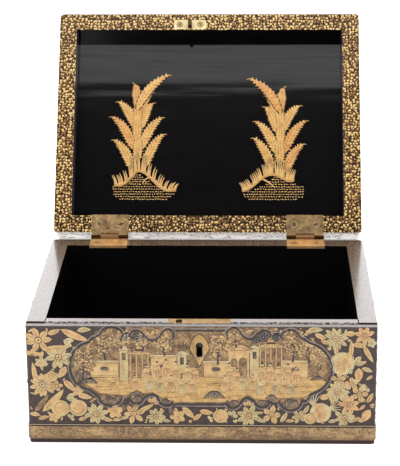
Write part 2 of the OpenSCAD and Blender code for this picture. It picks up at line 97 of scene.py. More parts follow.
def makeCamera(s):
    turn, down, roll = (math.radians(s[k]) for k in ("turn", "down", "roll"))
    ahead = Vector((-math.sin(turn) * math.cos(down), math.cos(turn) * math.cos(down), -math.sin(down)))
    right = Vector((math.cos(turn), math.sin(turn), 0))
    up = right.cross(ahead)
    side = math.cos(roll) * right + math.sin(roll) * up
    top = -math.sin(roll) * right + math.cos(roll) * up
    data = bpy.data.cameras.new("camera")
    data.lens = s["lens"]
    data.sensor_width = 36
    data.clip_end = 30
    obj = bpy.data.objects.new("camera", data)
    axes = Matrix((side, top, -ahead)).transposed().to_4x4()
    obj.matrix_world = Matrix.Translation(Vector(s["place"]) * mm) @ axes
    bpy.context.scene.collection.objects.link(obj)
    bpy.context.scene.camera = obj


makeCamera(cameraSet)
print("camera made")


# Materials: small helpers first

def rgb(r, g, b):
    # a colour as a painter's chart gives it, 0 to 255, turned into the renderer's own
    def one(c):
        c /= 255
        return c / 12.92 if c <= 0.04045 else ((c + 0.055) / 1.055) ** 2.4
    return (one(r), one(g), one(b), 1)


def feed(tree, node, values):
    # sets a node's sockets, or links those whose value is a pair of a node and its output
    for key, value in values.items():
        if isinstance(value, tuple) and len(value) == 2:
            tree.links.new(value[0].outputs[value[1]], node.inputs[key])
        else:
            node.inputs[key].default_value = value


def put(tree, kind, values=None, **settings):
    node = tree.nodes.new("ShaderNode" + kind)
    for key, value in settings.items():
        setattr(node, key, value)
    feed(tree, node, values or {})
    return node


def objectSpot(tree):
    return put(tree, "TexCoord"), "Object"


def newMaterial(name):
    mat = bpy.data.materials.new(name)
    mat.use_nodes = True
    tree = mat.node_tree
    return mat, tree, tree.nodes["Principled BSDF"], objectSpot(tree)


def noise(tree, spot, scale, detail=3, rough=0.55, warp=0):
    return put(tree, "TexNoise", {"Vector": spot, "Scale": scale, "Detail": detail, "Roughness": rough,
        "Distortion": warp}), "Fac"


def cells(tree, spot, scale):
    return put(tree, "TexVoronoi", {"Vector": spot, "Scale": scale}), "Distance"


def ramp(tree, fac, stops):
    node = put(tree, "ValToRGB", {"Fac": fac})
    band = node.color_ramp
    while len(band.elements) < len(stops):
        band.elements.new(0.5)
    for element, (at, colour) in zip(band.elements, stops):
        element.position = at
        element.color = colour if isinstance(colour, tuple) else (colour, colour, colour, 1)
    return node, "Color"


def mixColour(tree, fac, a, b):
    return put(tree, "Mix", {0: fac, 6: a, 7: b}, data_type="RGBA"), 2


def maths(tree, kind, *values):
    return put(tree, "Math", dict(enumerate(values)), operation=kind), 0


def between(tree, value, start, end, low, high):
    # runs evenly from low to high while the value goes from start to end
    return put(tree, "MapRange", {"Value": value, "From Min": start, "From Max": end, "To Min": low,
        "To Max": high}), 0


def along(tree, spot, way):
    # how far a place lies along a direction
    return put(tree, "VectorMath", {0: spot, 1: tuple(way)}, operation="DOT_PRODUCT"), "Value"


def axis(tree, spot, letter):
    return put(tree, "SeparateXYZ", {0: spot}), letter


def stretch(tree, spot, scale):
    return put(tree, "Mapping", {"Vector": spot, "Scale": scale}), 0


def bump(tree, shader, height, distance, strength=1.0, socket="Normal"):
    node = put(tree, "Bump", {"Height": height, "Distance": distance, "Strength": strength})
    feed(tree, shader, {socket: (node, 0)})


dotSet = {
    "large": 350,  # Voronoi scales
    "dust": 640,
    "jitter": 0.8,
    "spread": (-0.3, 0.18),  # what a dot's chance does to its size
    "deep": rgb(16, 9, 5),
    "deepen": 0.7,
    "shrink": 0.03,
}


def speckle(tree, spot, across, rail, dark, mid, pale, s=dotSet):
    # gold dots on a dusted ground that is darker on one rail; also gives where the dots are
    flat = put(tree, "CombineXYZ", {0: axis(tree, spot, "X"), 1: along(tree, spot, across)})
    large = put(tree, "TexVoronoi", {"Vector": (flat, 0), "Scale": s["large"], "Randomness": s["jitter"]},
        voronoi_dimensions="2D")
    dust = ramp(tree, cells(tree, spot, s["dust"]), [(0.30, 0.85), (0.42, 0.0)])
    chance = maths(tree, "MULTIPLY", (large, "Color"), 1.0)
    size = maths(tree, "MULTIPLY_ADD", chance, *s["spread"])
    if rail:
        dark = mixColour(tree, maths(tree, "MULTIPLY", rail, s["deepen"]), dark, s["deep"])
        size = maths(tree, "MULTIPLY_ADD", rail, s["shrink"], size)
    dots = ramp(tree, maths(tree, "ADD", (large, "Distance"), size), [(0.28, 1.0), (0.38, 0.0)])
    tint = ramp(tree, chance, [(0.2, mid), (0.6, pale)])
    return mixColour(tree, dots, mixColour(tree, dust, dark, mid), tint), dots


def within(tree, spot, slabs):
    # 1 where a place lies inside every slab, each given as direction, middle and half width
    mask = None
    for away, middle, half in slabs:
        off = maths(tree, "ABSOLUTE", maths(tree, "SUBTRACT", along(tree, spot, away), middle))
        hit = maths(tree, "LESS_THAN", off, half)
        mask = hit if mask is None else maths(tree, "MULTIPLY", mask, hit)
    return mask


lacquerSet = {
    "ground": rgb(56, 43, 41),
    "worn": rgb(84, 67, 62),
    "inside": rgb(10, 8, 9),
}
boxSet = {
    "tones": (rgb(62, 45, 35), rgb(92, 70, 54), rgb(114, 89, 69)),
    "coat": (0.45, 1),  # on the faces and on the rim
    "coatRoughness": 0.14,
    "dotHeight": 2.0,
    "dirt": rgb(30, 20, 18),
    # a pale lilac-grey laid on the rim behind the lap
    "paleStrip": rgb(158, 142, 138),
    "lap": 9,  # mm from the front to where the front board laps over the sides
    "inner": railWide + 0.9,  # mm from the front to the front board's inner face
    "joint": (1, 2.6),  # mm from the lap to the middle of the rubbed line, and half its width
    "end": (142, 8),  # mm from the middle to the line's whole ends, and half their length
    "corner": (134, 0.5),
    "tilt": (8, 7),  # degrees that wear has given the front rim, before and behind the lap
    "hollow": (0.1343, 0.0960),  # half its width and depth, in metres
    # the keyhole's way through the board, as slabs; its inner sides are painted near-black as shade
    "hole": [((1, 0, 0), keyX * mm, 0.0035), ((0, 1, 0), -0.1046, 0.0086), ((0, 0, 1), 0.0885, 0.0078)],
}
lidSet = {
    "tones": (rgb(50, 30, 14), rgb(190, 136, 72), rgb(255, 216, 140)),
    "coat": (0.6, 0.25),
    "coatRoughness": 0.09,
    "dotHeight": 6.0,
    "rubbed": rgb(96, 92, 110),
    "hollow": (0.1334, 0.0969),
    "innerHalf": 0.1325,  # to its inner sides, which are painted a pale bluish grey
    "hingeRail": (0.1055, 0.0088),  # its middle from the lid's own, and half its width
}


def boxWear(tree, spot, s, isRim):
    # dark lines where the front board laps over the sides, a rubbed one between them, and a pale lilac-grey strip
    # behind the lap
    front = -halfDeep
    middle = ((0, 1, 0), (front + s["lap"] - s["joint"][0]) * mm, s["joint"][1] * mm)
    strip = ((0, 1, 0), (front + (s["lap"] + s["inner"]) / 2) * mm, (s["inner"] - s["lap"]) / 2 * mm)
    rubbed = ramp(tree, noise(tree, spot, 330, 3, 0.7), [(0.45, 0.0), (0.52, 1.0)])
    line = maths(tree, "MULTIPLY", within(tree, spot, [middle]), rubbed)
    for side in (-1, 1):
        end = within(tree, spot, [middle, ((1, 0, 0), side * s["end"][0] * mm, s["end"][1] * mm)])
        corner = within(tree, spot, [((1, 0, 0), side * s["corner"][0] * mm, s["corner"][1] * mm), strip])
        line = maths(tree, "MAXIMUM", line, maths(tree, "MAXIMUM", end, corner))
    paleStrip = maths(tree, "MULTIPLY", within(tree, spot, [strip]), 0.7)
    return paleStrip, line, maths(tree, "MULTIPLY", line, isRim)


def frontTilt(tree, spot, s, wave):
    # the front rim's slope, added to its waviness
    for tilt, start, end in zip(s["tilt"], (-9, s["lap"]), (s["lap"], s["inner"])):
        run = maths(tree, "MAXIMUM", axis(tree, spot, "Y"), (start - halfDeep) * mm)
        run = maths(tree, "MINIMUM", run, (end - halfDeep) * mm)
        wave = maths(tree, "MULTIPLY_ADD", run, math.tan(math.radians(tilt)), wave)
    return wave


def lacquerMaterial(name, place, away, across, s, base=lacquerSet):
    # what lies past the plane through place, square to away, is the dotted rim
    mat, tree, shader, spot = newMaterial(name)
    cloud = ramp(tree, noise(tree, spot, 420, 4, 0.7), [(0.35, 0.0), (0.7, 1.0)])
    middle = place.dot(across)
    isInside = within(tree, spot, [((1, 0, 0), 0, s["hollow"][0]), (across, middle, s["hollow"][1])])
    colour = mixColour(tree, isInside, mixColour(tree, cloud, base["ground"], base["worn"]), base["inside"])
    isRim = maths(tree, "GREATER_THAN", along(tree, spot, away), place.dot(away) - 0.00006)
    coat, rimCoat = s["coat"]
    polish = maths(tree, "MULTIPLY_ADD", isRim, rimCoat - coat, coat)
    rough = maths(tree, "MULTIPLY_ADD", isRim, 0.2, 0.28)
    wave = maths(tree, "MULTIPLY", noise(tree, spot, 60, 3), 0.00006)
    if s is lidSet:
        railAt, railHalf = s["hingeRail"]
        rail = within(tree, spot, [(across, middle + railAt, railHalf)])
        rim, dots = speckle(tree, spot, across, rail, *s["tones"])
        # the lid's inner sides are painted a pale bluish grey
        walls = maths(tree, "SUBTRACT", isInside, within(tree, spot, [((1, 0, 0), 0, s["innerHalf"])]))
        colour = mixColour(tree, maths(tree, "MAXIMUM", walls, 0.0), colour, s["rubbed"])
    else:
        rim, dots = speckle(tree, spot, across, None, *s["tones"])
        paleStrip, line, dirt = boxWear(tree, spot, s, isRim)
        rim = mixColour(tree, line, mixColour(tree, paleStrip, rim, s["paleStrip"]), s["dirt"])
        # painted shade: the keyhole's inner sides are coloured near-black
        colour = mixColour(tree, within(tree, spot, s["hole"]), colour, rgb(3, 2, 2))
        polish = maths(tree, "MULTIPLY", polish, maths(tree, "SUBTRACT", 1.0, dirt))
        rough = maths(tree, "MULTIPLY_ADD", dirt, 0.5, rough)
        wave = frontTilt(tree, spot, s, wave)
    feed(tree, shader, {"Base Color": mixColour(tree, isRim, colour, rim), "Coat Weight": polish,
        "Roughness": rough, "Coat Roughness": s["coatRoughness"], "Specular IOR Level": 0.3})
    raised = maths(tree, "MULTIPLY", dots, isRim)
    height = maths(tree, "MULTIPLY_ADD", raised, s["dotHeight"], noise(tree, spot, 900, 2))
    bump(tree, shader, height, 0.00002, 0.5)
    bump(tree, shader, wave, 1.0, 1.0, "Coat Normal")
    return mat


def panelMaterial(name):
    # deep gloss black, faintly streaked along the boards
    mat, tree, shader, spot = newMaterial(name)
    streaks = stretch(tree, spot, (0.1, 1, 1))
    lines = noise(tree, streaks, 160, 4, 0.6)
    feed(tree, shader, {"Base Color": ramp(tree, lines, [(0.4, rgb(4, 2, 3)), (0.7, rgb(11, 8, 9))]),
        "Roughness": 0.3, "Specular IOR Level": 0.1})
    fine = stretch(tree, spot, (0.03, 1, 1))
    polish = ramp(tree, noise(tree, fine, 420, 3, 0.6), [(0.36, 0.78), (0.56, 1.0)])
    feed(tree, shader, {"Coat Weight": polish, "Coat Roughness": 0.05})
    sag = noise(tree, streaks, 24, 2)
    height = maths(tree, "MULTIPLY_ADD", sag, 0.0003, maths(tree, "MULTIPLY", lines, 0.00001))
    bump(tree, shader, height, 1.0, 1.0, "Coat Normal")
    return mat


def boardMaterial(name):
    mat, tree, shader, spot = newMaterial(name)
    dust = ramp(tree, noise(tree, spot, 90, 4, 0.65), [(0.4, rgb(10, 8, 8)), (0.8, rgb(24, 18, 16))])
    foot = maths(tree, "LESS_THAN", axis(tree, spot, "Z"), 0.006)  # its edge shows under the plinth
    feed(tree, shader, {"Base Color": mixColour(tree, foot, dust, rgb(66, 50, 46)), "Roughness": 0.4,
        "Specular IOR Level": 0.3})
    bump(tree, shader, noise(tree, spot, 400, 3), 0.00005, 0.4)
    return mat


def gildMaterial(name, light, dark, wear=0.2, rough=0.42, metal=0.25, coat=(0.8, 0.1)):
    # gold laid on lacquer: it varies in tone, and the lacquer shows where it is rubbed
    mat, tree, shader, spot = newMaterial(name)
    tone = ramp(tree, noise(tree, spot, 190, 4, 0.7), [(0.36, dark), (0.60, light)])
    rubbed = ramp(tree, noise(tree, spot, 560, 3, 0.7), [(0.30, wear), (0.44, 0.0)])
    colour = mixColour(tree, rubbed, tone, rgb(84, 60, 46))
    feed(tree, shader, {"Base Color": colour, "Metallic": metal, "Roughness": rough, "Coat Weight": coat[0],
        "Coat Roughness": coat[1]})
    bump(tree, shader, noise(tree, spot, 1500, 2), 0.00003, 0.4)
    return mat


def hatchMaterial(name, dark, mid, gold, scale=900):
    # fine brushwork, half gold and half ground, for foliage, rocks and sky
    mat, tree, shader, spot = newMaterial(name)
    strokes = noise(tree, spot, scale, 3, 0.75, 1.6)
    patches = noise(tree, spot, 150, 3)
    level = maths(tree, "MULTIPLY_ADD", patches, 0.45, maths(tree, "MULTIPLY", strokes, 0.7))
    colour = ramp(tree, level, [(0.47, dark), (0.57, mid), (0.67, gold)])
    feed(tree, shader, {"Base Color": colour, "Roughness": 0.45, "Metallic": 0.15})
    bump(tree, shader, strokes, 0.00004, 0.4)
    return mat


plinthSet = {
    "dark": rgb(118, 91, 68),
    "plum": rgb(142, 113, 92),
    "mid": rgb(180, 145, 101),
    "gold": rgb(208, 173, 120),
    "leafage": rgb(124, 104, 64),
    "groove": rgb(38, 26, 24),
    "bead": rgb(168, 152, 128),
    "top": rgb(62, 46, 40),
}


def plinthMaterial(name, s=plinthSet):
    # rubbed gold leafage on the band, bare lacquer in the groove, a pale line along the bead
    mat, tree, shader, spot = newMaterial(name)
    leafage = noise(tree, spot, 230, 5, 0.72, 2.2)
    clouds = noise(tree, spot, 60, 3)
    mixed = maths(tree, "MULTIPLY_ADD", clouds, 0.4, maths(tree, "MULTIPLY", leafage, 0.75))
    band = ramp(tree, mixed, [(0.46, s["dark"]), (0.53, s["plum"]), (0.58, s["mid"]), (0.68, s["gold"])])
    height = axis(tree, spot, "Z")
    long = stretch(tree, spot, (0.45, 0.45, 1))
    leaves = ramp(tree, cells(tree, long, 210), [(0.22, 0.0), (0.3, 0.55), (0.4, 0.55), (0.5, 0.0)])
    band = mixColour(tree, leaves, band, s["leafage"])
    low = between(tree, height, plinthLow.z, plinthLow.z + 0.004, 0.7, 0.0)
    colour = mixColour(tree, low, band, s["dark"])
    for level, tone in ((0.0021, "groove"), (0.0013, "bead"), (0.0003, "top")):
        above = maths(tree, "GREATER_THAN", height, plinthHigh.z - level)
        colour = mixColour(tree, above, colour, s[tone])
    feed(tree, shader, {"Base Color": colour, "Roughness": 0.42, "Metallic": 0.1, "Coat Weight": 0.2,
        "Coat Roughness": 0.2})
    bump(tree, shader, leafage, 0.0001, 0.6)
    return mat


hingeShade = {
    "leaf": 95,  # mm from the middle of the box to the middle of each hinge
    "heel": (13.5, 4.6),  # from there to a heel's middle, and half its length
    # painted shadow: the dark slit between the leaves beside the middle knuckle
    "heelShadow": rgb(62, 38, 14),
    "knuckle": 8.9,
    # painted shade on the top of the middle knuckle
    "knuckleShade": rgb(140, 100, 58),
}


def shadeHinges(tree, spot, colour, s=hingeShade):
    # the lid's heels beside the middle knuckle are painted dark as the shadowed slit between the leaves, and the
    # knuckle's top is painted a little darker as shade
    for side in (-1, 1):
        for end in (-1, 1):
            heel = [((1, 0, 0), (side * s["leaf"] + end * s["heel"][0]) * mm, s["heel"][1] * mm),
                ((0, 1, 0), pin.y - 0.001, 0.0022), ((0, 0, 1), pin.z - 0.0006, 0.0036)]
            colour = mixColour(tree, within(tree, spot, heel), colour, s["heelShadow"])
        knuckle = [((1, 0, 0), side * s["leaf"] * mm, s["knuckle"] * mm), ((0, 1, 0), pin.y, 0.003),
            ((0, 0, 1), pin.z + 0.0016, 0.0022)]
        colour = mixColour(tree, within(tree, spot, knuckle), colour, s["knuckleShade"])
    return colour


def brassMaterial(name, light, dark, rough, metal=1, hinge=False):
    mat, tree, shader, spot = newMaterial(name)
    stain = ramp(tree, noise(tree, spot, 120, 5, 0.65), [(0.32, dark), (0.60, light)])
    spots = ramp(tree, noise(tree, spot, 700, 3), [(0.28, 0.45), (0.38, 0.0)])
    colour = mixColour(tree, spots, stain, rgb(96, 66, 40))
    if hinge:
        # painted shadow and shade on the hinges' heels and knuckles
        colour = shadeHinges(tree, spot, colour)
    grain = ramp(tree, noise(tree, spot, 300, 4), [(0.3, rough - 0.08), (0.7, rough + 0.12)])
    feed(tree, shader, {"Base Color": colour, "Metallic": metal, "Roughness": grain})
    bump(tree, shader, noise(tree, spot, 420, 4), 0.00008, 0.35)
    return mat


# light and dark tone, then wear, roughness, metal and coat where they aren't the usual ones
gildTones = {
    "plantGold": (rgb(252, 204, 122), rgb(236, 172, 92)),
    "plantWarm": (rgb(250, 194, 112), rgb(228, 152, 80)),
    "gold": (rgb(230, 192, 130), rgb(202, 160, 104)),
    "warmGold": (rgb(232, 188, 128), rgb(210, 160, 106)),
    "greenGold": (rgb(218, 197, 142), rgb(190, 165, 114)),
    "paleGold": (rgb(222, 204, 156), rgb(196, 174, 130)),
    "shade": (rgb(150, 114, 78), rgb(118, 88, 62), 0.3),
    # painted shade: a dark gold for ornament on a face that lies in shadow
    "shadedGold": (rgb(104, 80, 64), rgb(84, 64, 54), 0.3, 0.3, 0, (0.62, 0.09)),
    "ink": (rgb(46, 33, 32), rgb(34, 24, 26), 0, 0.35, 0),
    "paleLine": (rgb(170, 156, 148), rgb(130, 114, 108), 0.4, 0.35, 0.1),
}
# dark, middle and gold tone, then how fine the strokes are
hatchTones = {
    "hatch": (rgb(84, 64, 54), rgb(134, 106, 78), rgb(202, 164, 114)),
    "deepHatch": (rgb(62, 52, 52), rgb(104, 88, 82), rgb(160, 136, 110), 1300),
    "goldWash": (rgb(186, 144, 92), rgb(218, 176, 114), rgb(234, 194, 128), 700),
}
finishes = {name: gildMaterial(name, *tones) for name, tones in gildTones.items()}
for name, tones in hatchTones.items():
    finishes[name] = hatchMaterial(name, *tones)

# light and dark tone, roughness, then metal and whether it is a hinge
brassTones = {
    "brass": (rgb(236, 200, 142), rgb(190, 150, 102), 0.36, 1, True),
    "highBrass": (rgb(230, 190, 134), rgb(158, 122, 94), 0.36, 1, True),
    "lowBrass": (rgb(242, 200, 138), rgb(208, 156, 102), 0.38, 0.7, True),
    "oldBrass": (rgb(214, 184, 128), rgb(160, 130, 84), 0.36),
    "plateBrass": (rgb(214, 178, 120), rgb(180, 142, 92), 0.42),
    "lockBrass": (rgb(204, 170, 120), rgb(160, 128, 88), 0.42),
    "linkBrass": (rgb(255, 238, 184), rgb(244, 210, 146), 0.5, 0),
    # painted shade: a dark copy of the brass for the staple and lock case, which lie in shade
    "shadedCaseBrass": (rgb(116, 92, 58), rgb(66, 50, 34), 0.5),
    "darkSteel": (rgb(150, 146, 140), rgb(96, 90, 84), 0.4),
}
metals = {name: brassMaterial(name, *tones) for name, tones in brassTones.items()}

lidTurn = lidOpen.to_3x3()
rimPlace = lidOpen @ Vector((0, 0, lidRim * mm))
upward, backward = Vector((0, 0, 1)), Vector((0, 1, 0))
lacquer = lacquerMaterial("blackLacquer", Vector((0, 0, rimHeight * mm)), upward, backward, boxSet)
lidLacquer = lacquerMaterial("blackLacquerLid", rimPlace, lidTurn @ -upward, lidTurn @ backward, lidSet)

# by node, or else by the record's material slot
nodeFinish = {
    "black_lacquer": lacquer,
    "gilded_lacquer": plinthMaterial("plinthGold"),
    "brass": metals["brass"],
    "aged_brass": metals["oldBrass"],
    "steel": metals["darkSteel"],
    "lid_panel": panelMaterial("blackLacquerPanel"),
    "bottom_board": boardMaterial("blackLacquerBoard"),
    "keyhole_escutcheon": metals["plateBrass"],
    "link_plate": metals["linkBrass"],
    "lock_plate": metals["lockBrass"],
    # the staple and lock case take the dark, shaded copy of the brass
    "link_staple": metals["shadedCaseBrass"],
    "lock_case": metals["shadedCaseBrass"],
}
for hand in ("left", "right"):
    nodeFinish[hand + "_upper_leaf"] = metals["highBrass"]
    nodeFinish[hand + "_lower_leaf"] = metals["lowBrass"]
for part in frame["record"]["subparts"]:
    nodeName = part["node"]
    finish = nodeFinish.get(nodeName, nodeFinish[part["material_slot"]])
    if finish == lacquer and nodeName.startswith("lid_"):
        finish = lidLacquer
    mesh = nodes[nodeName].data
    mesh.materials.clear()
    mesh.materials.append(finish)
print("finishes laid on")


# Ornament: thin raised shapes drawn on a flat face, in millimetres

def makeFace(origin, across, up, body, onLid=False):
    origin, across, up = Vector(origin), Vector(across), Vector(up)
    reach = (halfWide if abs(across.x) > 0.5 else halfDeep) - 0.1
    low, high = (lidRim + 0.3, lidTop - 0.3) if onLid else (0, rimHeight - 0.3)
    if up.z == 0:
        low, high = -halfDeep + 0.1, 2 * halfDeep
    if onLid:
        origin = lidOpen @ (origin * mm) / mm
        across, up = lidTurn @ across, lidTurn @ up
    return {"origin": origin, "across": across, "up": up, "out": across.cross(up), "body": body,
        "reach": reach, "low": low, "high": high}


class Relief:
    # gathers the shapes of one face into one mesh with a material for each finish
    def __init__(self, name, face, seed):
        self.name = name
        self.face = face
        self.rng = random.Random(seed)
        self.verts, self.faces, self.kinds = [], [], []
        self.used = []
        self.count = 0
        self.sink = -0.04
        self.only = None

    def layer(self):
        # neighbours get slightly different heights, so that one passes over the other
        self.count += 1
        return 0.1 + 0.02 * (self.count % 6)

    def spot(self, x, y, h):
        f = self.face
        x = max(-f["reach"], min(f["reach"], x))  # nothing hangs over the edges
        y = max(f["low"], min(f["high"], y))
        return (f["origin"] + f["across"] * x + f["up"] * y + f["out"] * h) * mm

    def add(self, finish, faces):
        finish = self.only or finish
        if finish not in self.used:
            self.used.append(finish)
        self.faces.extend(faces)
        self.kinds.extend([self.used.index(finish)] * len(faces))

    def ribbon(self, finish, path, widths, lift=0.1, crown=0.15):
        # a leaf, petal or line: a ridge along a path, with a width at each point
        if isinstance(widths, (int, float)):
            widths = [widths] * len(path)
        verts, faces = self.verts, []
        widest = max(widths)
        last = len(path) - 1
        for i, ((x, y), w) in enumerate(zip(path, widths)):
            x0, y0 = path[max(i - 1, 0)]
            x1, y1 = path[min(i + 1, last)]
            run = math.hypot(x1 - x0, y1 - y0) or 1
            nx, ny = -(y1 - y0) / run, (x1 - x0) / run
            half = max(w / 2, 0.02)
            start = len(verts)
            verts.append(self.spot(x - nx * half, y - ny * half, self.sink))
            verts.append(self.spot(x - nx * half, y - ny * half, lift))
            verts.append(self.spot(x, y, lift + crown * w / widest))
            verts.append(self.spot(x + nx * half, y + ny * half, lift))
            verts.append(self.spot(x + nx * half, y + ny * half, self.sink))
            if i:
                for k in range(4):
                    faces.append((start - 5 + k, start + k, start + k + 1, start - 4 + k))
            if i in (0, last):
                ring = tuple(range(start, start + 5))
                faces.append(ring if i == 0 else ring[::-1])
        self.add(finish, faces)

    def disc(self, finish, x, y, r, lift=0.1, crown=0.2, squeeze=1, turn=0, sides=12):
        verts, faces = self.verts, []
        start = len(verts)
        c, s = math.cos(turn), math.sin(turn)
        verts.append(self.spot(x, y, lift + crown))
        for share, height in ((0.6, lift + crown * 0.7), (1, lift), (1, self.sink)):
            for k in range(sides):
                a = 2 * math.pi * k / sides
                px, py = r * share * math.cos(a), r * share * squeeze * math.sin(a)
                verts.append(self.spot(x + px * c - py * s, y + px * s + py * c, height))
        for k in range(sides):
            n = (k + 1) % sides
            faces.append((start, start + 1 + k, start + 1 + n))
            for ring in (start + 1, start + 1 + sides):
                faces.append((ring + k, ring + sides + k, ring + sides + n, ring + n))
        self.add(finish, faces)

    def plate(self, finish, outline, lift=0.06, edge=0):
        # a flat shape with a low edge, outlined where edge gives a width
        area = sum(a[0] * b[1] - b[0] * a[1] for a, b in zip(outline, outline[1:] + outline[:1]))
        if area < 0:
            outline = outline[::-1]
        start, count = len(self.verts), len(outline)
        for height in (lift, self.sink):
            self.verts.extend(self.spot(x, y, height) for x, y in outline)
        faces = [tuple(range(start, start + count))]
        for k in range(count):
            n = (k + 1) % count
            faces.append((start + k, start + count + k, start + count + n, start + n))
        self.add(finish, faces)
        if edge:
            self.ribbon("shade", outline + outline[:1], edge, lift, 0.04)

    def make(self):
        mesh = bpy.data.meshes.new(self.name)
        mesh.from_pydata(self.verts, [], self.faces)
        for finish in self.used:
            mesh.materials.append(finishes[finish])
        mesh.polygons.foreach_set("material_index", self.kinds)
        mesh.validate()
        obj = bpy.data.objects.new(self.name, mesh)
        bpy.context.scene.collection.objects.link(obj)
        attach(obj, self.face["body"])


def smoothPath(points, steps=6):
    # a curve through the points
    out = []
    for i in range(len(points) - 1):
        near = zip(points[max(i - 1, 0)], points[i], points[i + 1], points[min(i + 2, len(points) - 1)])
        curves = [(2 * b, c - a, 2 * a - 5 * b + 4 * c - d, 3 * b - a - 3 * c + d) for a, b, c, d in near]
        for k in range(steps):
            t = k / steps
            out.append(tuple(0.5 * (p + q * t + r * t * t + s * t ** 3) for p, q, r, s in curves))
    out.append(tuple(points[-1]))
    return out


def arcPath(x, y, angle, length, bend, count=7):
    # a path that starts at a place and a heading in degrees and turns evenly
    out = [(x, y)]
    for k in range(count - 1):
        heading = math.radians(angle + bend * (k + 0.5) / (count - 1))
        x += math.cos(heading) * length / (count - 1)
        y += math.sin(heading) * length / (count - 1)
        out.append((x, y))
    return out


def offsetPath(path, away):
    out = []
    for i, (x, y) in enumerate(path):
        x0, y0 = path[max(i - 1, 0)]
        x1, y1 = path[min(i + 1, len(path) - 1)]
        run = math.hypot(x1 - x0, y1 - y0) or 1
        out.append((x + (y1 - y0) / run * away, y - (x1 - x0) / run * away))
    return out


def inside(outline, x, y):
    hit = False
    for (x0, y0), (x1, y1) in zip(outline, outline[1:] + outline[:1]):
        if (y0 > y) != (y1 > y) and x < (x1 - x0) * (y - y0) / (y1 - y0) + x0:
            hit = not hit
    return hit


def polar(x, y, r, degrees):
    return x + r * math.cos(math.radians(degrees)), y + r * math.sin(math.radians(degrees))


# Motifs

def leaf(relief, finish, x, y, angle, length, width, bend=0, lift=0.12, crown=0.2, veins=1, tip=0.72,
        border=("ink", 0.8)):
    # a dark edge sets each leaf off from what it lies on
    path = arcPath(x, y, angle, length, bend)
    last = len(path) - 1
    widths = [width * math.sin(math.pi * (k / last) ** tip) ** 0.75 if 0 < k < last else 0.1
        for k in range(last + 1)]
    relief.ribbon(border[0], path, [w + border[1] for w in widths], lift - 0.06, 0.04)
    relief.ribbon(finish, path, widths, lift, crown)
    if length > 4 and veins:
        relief.ribbon("shade", path[1:-1], [0.42, 0.4, 0.36, 0.28, 0.1], lift + crown - 0.02, 0.05)
    if length > 8 and veins > 1:
        for k in (1, 2, 3, 4):
            for side in (-1, 1):
                vein = arcPath(*path[k], angle + bend * k / last + side * 38, widths[k] * 0.42, 0, 3)
                relief.ribbon("shade", vein, [0.3, 0.26, 0.1], lift + crown * 0.5, 0.06)


def bloom(relief, finish, x, y, r, turn=0, petals=8, fat=1.0, tip=1.1, heart="warmGold"):
    # petals of uneven length round a heart, each a little cupped
    lift = relief.layer()
    for k in range(petals):
        a = turn + 360 * k / petals + relief.rng.uniform(-7, 7)
        reach = r * relief.rng.uniform(0.74, 0.96)
        width = fat * 2 * math.pi * r * 0.58 / petals
        leaf(relief, finish, *polar(x, y, 0.14 * r, a), a, reach, width, relief.rng.uniform(-16, 16),
            lift + 0.02 * (k % 2), 0.18, 1 if r > 5 else 0, tip)
    relief.disc("ink", x, y, r * 0.27, lift + 0.12, 0.1, sides=10)
    relief.disc(heart, x, y, r * 0.22, lift + 0.2, 0.14, sides=10)
    if r > 6:
        for k in range(6):
            relief.disc("paleGold", *polar(x, y, 0.33 * r, turn + 60 * k + 20), 0.34, lift + 0.24, 0.1,
                sides=6)
        relief.disc("shade", x, y, r * 0.09, lift + 0.32, 0.06, sides=8)


def aster(relief, finish, x, y, r, turn=0):
    bloom(relief, finish, x, y, r, turn, 11, 1.05, 1.2)
    bloom(relief, "paleGold" if finish != "paleGold" else "gold", x, y, r * 0.56, turn + 14, 8, 1.05, 1.2)


def plum(relief, finish, x, y, r, turn=0):
    lift = relief.layer()
    for k in range(5):
        px, py = polar(x, y, 0.56 * r, turn + 72 * k)
        a = math.radians(turn + 72 * k)
        relief.disc("ink", px, py, r * 0.42 + 0.4, lift - 0.06, 0.04, 0.86, a, 10)
        relief.disc(finish, px, py, r * 0.42, lift, 0.18, 0.86, a, 10)
        relief.ribbon("shade", [polar(x, y, 0.2 * r, turn + 72 * k), polar(x, y, 0.62 * r, turn + 72 * k)],
            [0.4, 0.15], lift + 0.12, 0.06)
    relief.disc("warmGold", x, y, r * 0.24, lift + 0.2, 0.1, sides=8)
    relief.disc("shade", x, y, r * 0.1, lift + 0.28, 0.06, sides=6)


def crest(relief, finish, x, y, r, turn=90):
    # a lily seen from the side
    lift = relief.layer()
    for spread in (-72, 72, -36, 36, 0):
        leaf(relief, finish, x, y, turn + spread, r * (1.25 - abs(spread) / 160), r * 0.46, spread * 0.25,
            lift, 0.2, 2, 0.95)
    relief.disc("warmGold", x, y, r * 0.26, lift + 0.16, 0.12)
    leaf(relief, "greenGold", x, y, turn + 180, r * 0.7, r * 0.34, 20, lift + 0.02)


def fruit(relief, finish, x, y, r, turn=0):
    # a round fruit with a paler rim and a curl drawn on it
    lift = relief.layer()
    relief.disc("ink", x, y, r + 0.4, lift - 0.06, 0.04, 1, 0, 18)
    relief.disc("greenGold", x, y, r, lift, 0.08, 0.97, 0, 18)
    relief.disc(finish, x, y, r * 0.82, lift + 0.06, 0.2, 1, 0, 16)
    spiral = [polar(x, y, r * (0.8 - 0.045 * k), turn + 36 * k) for k in range(15)]
    relief.ribbon("shade", spiral, 0.42, lift + 0.16, 0.1)


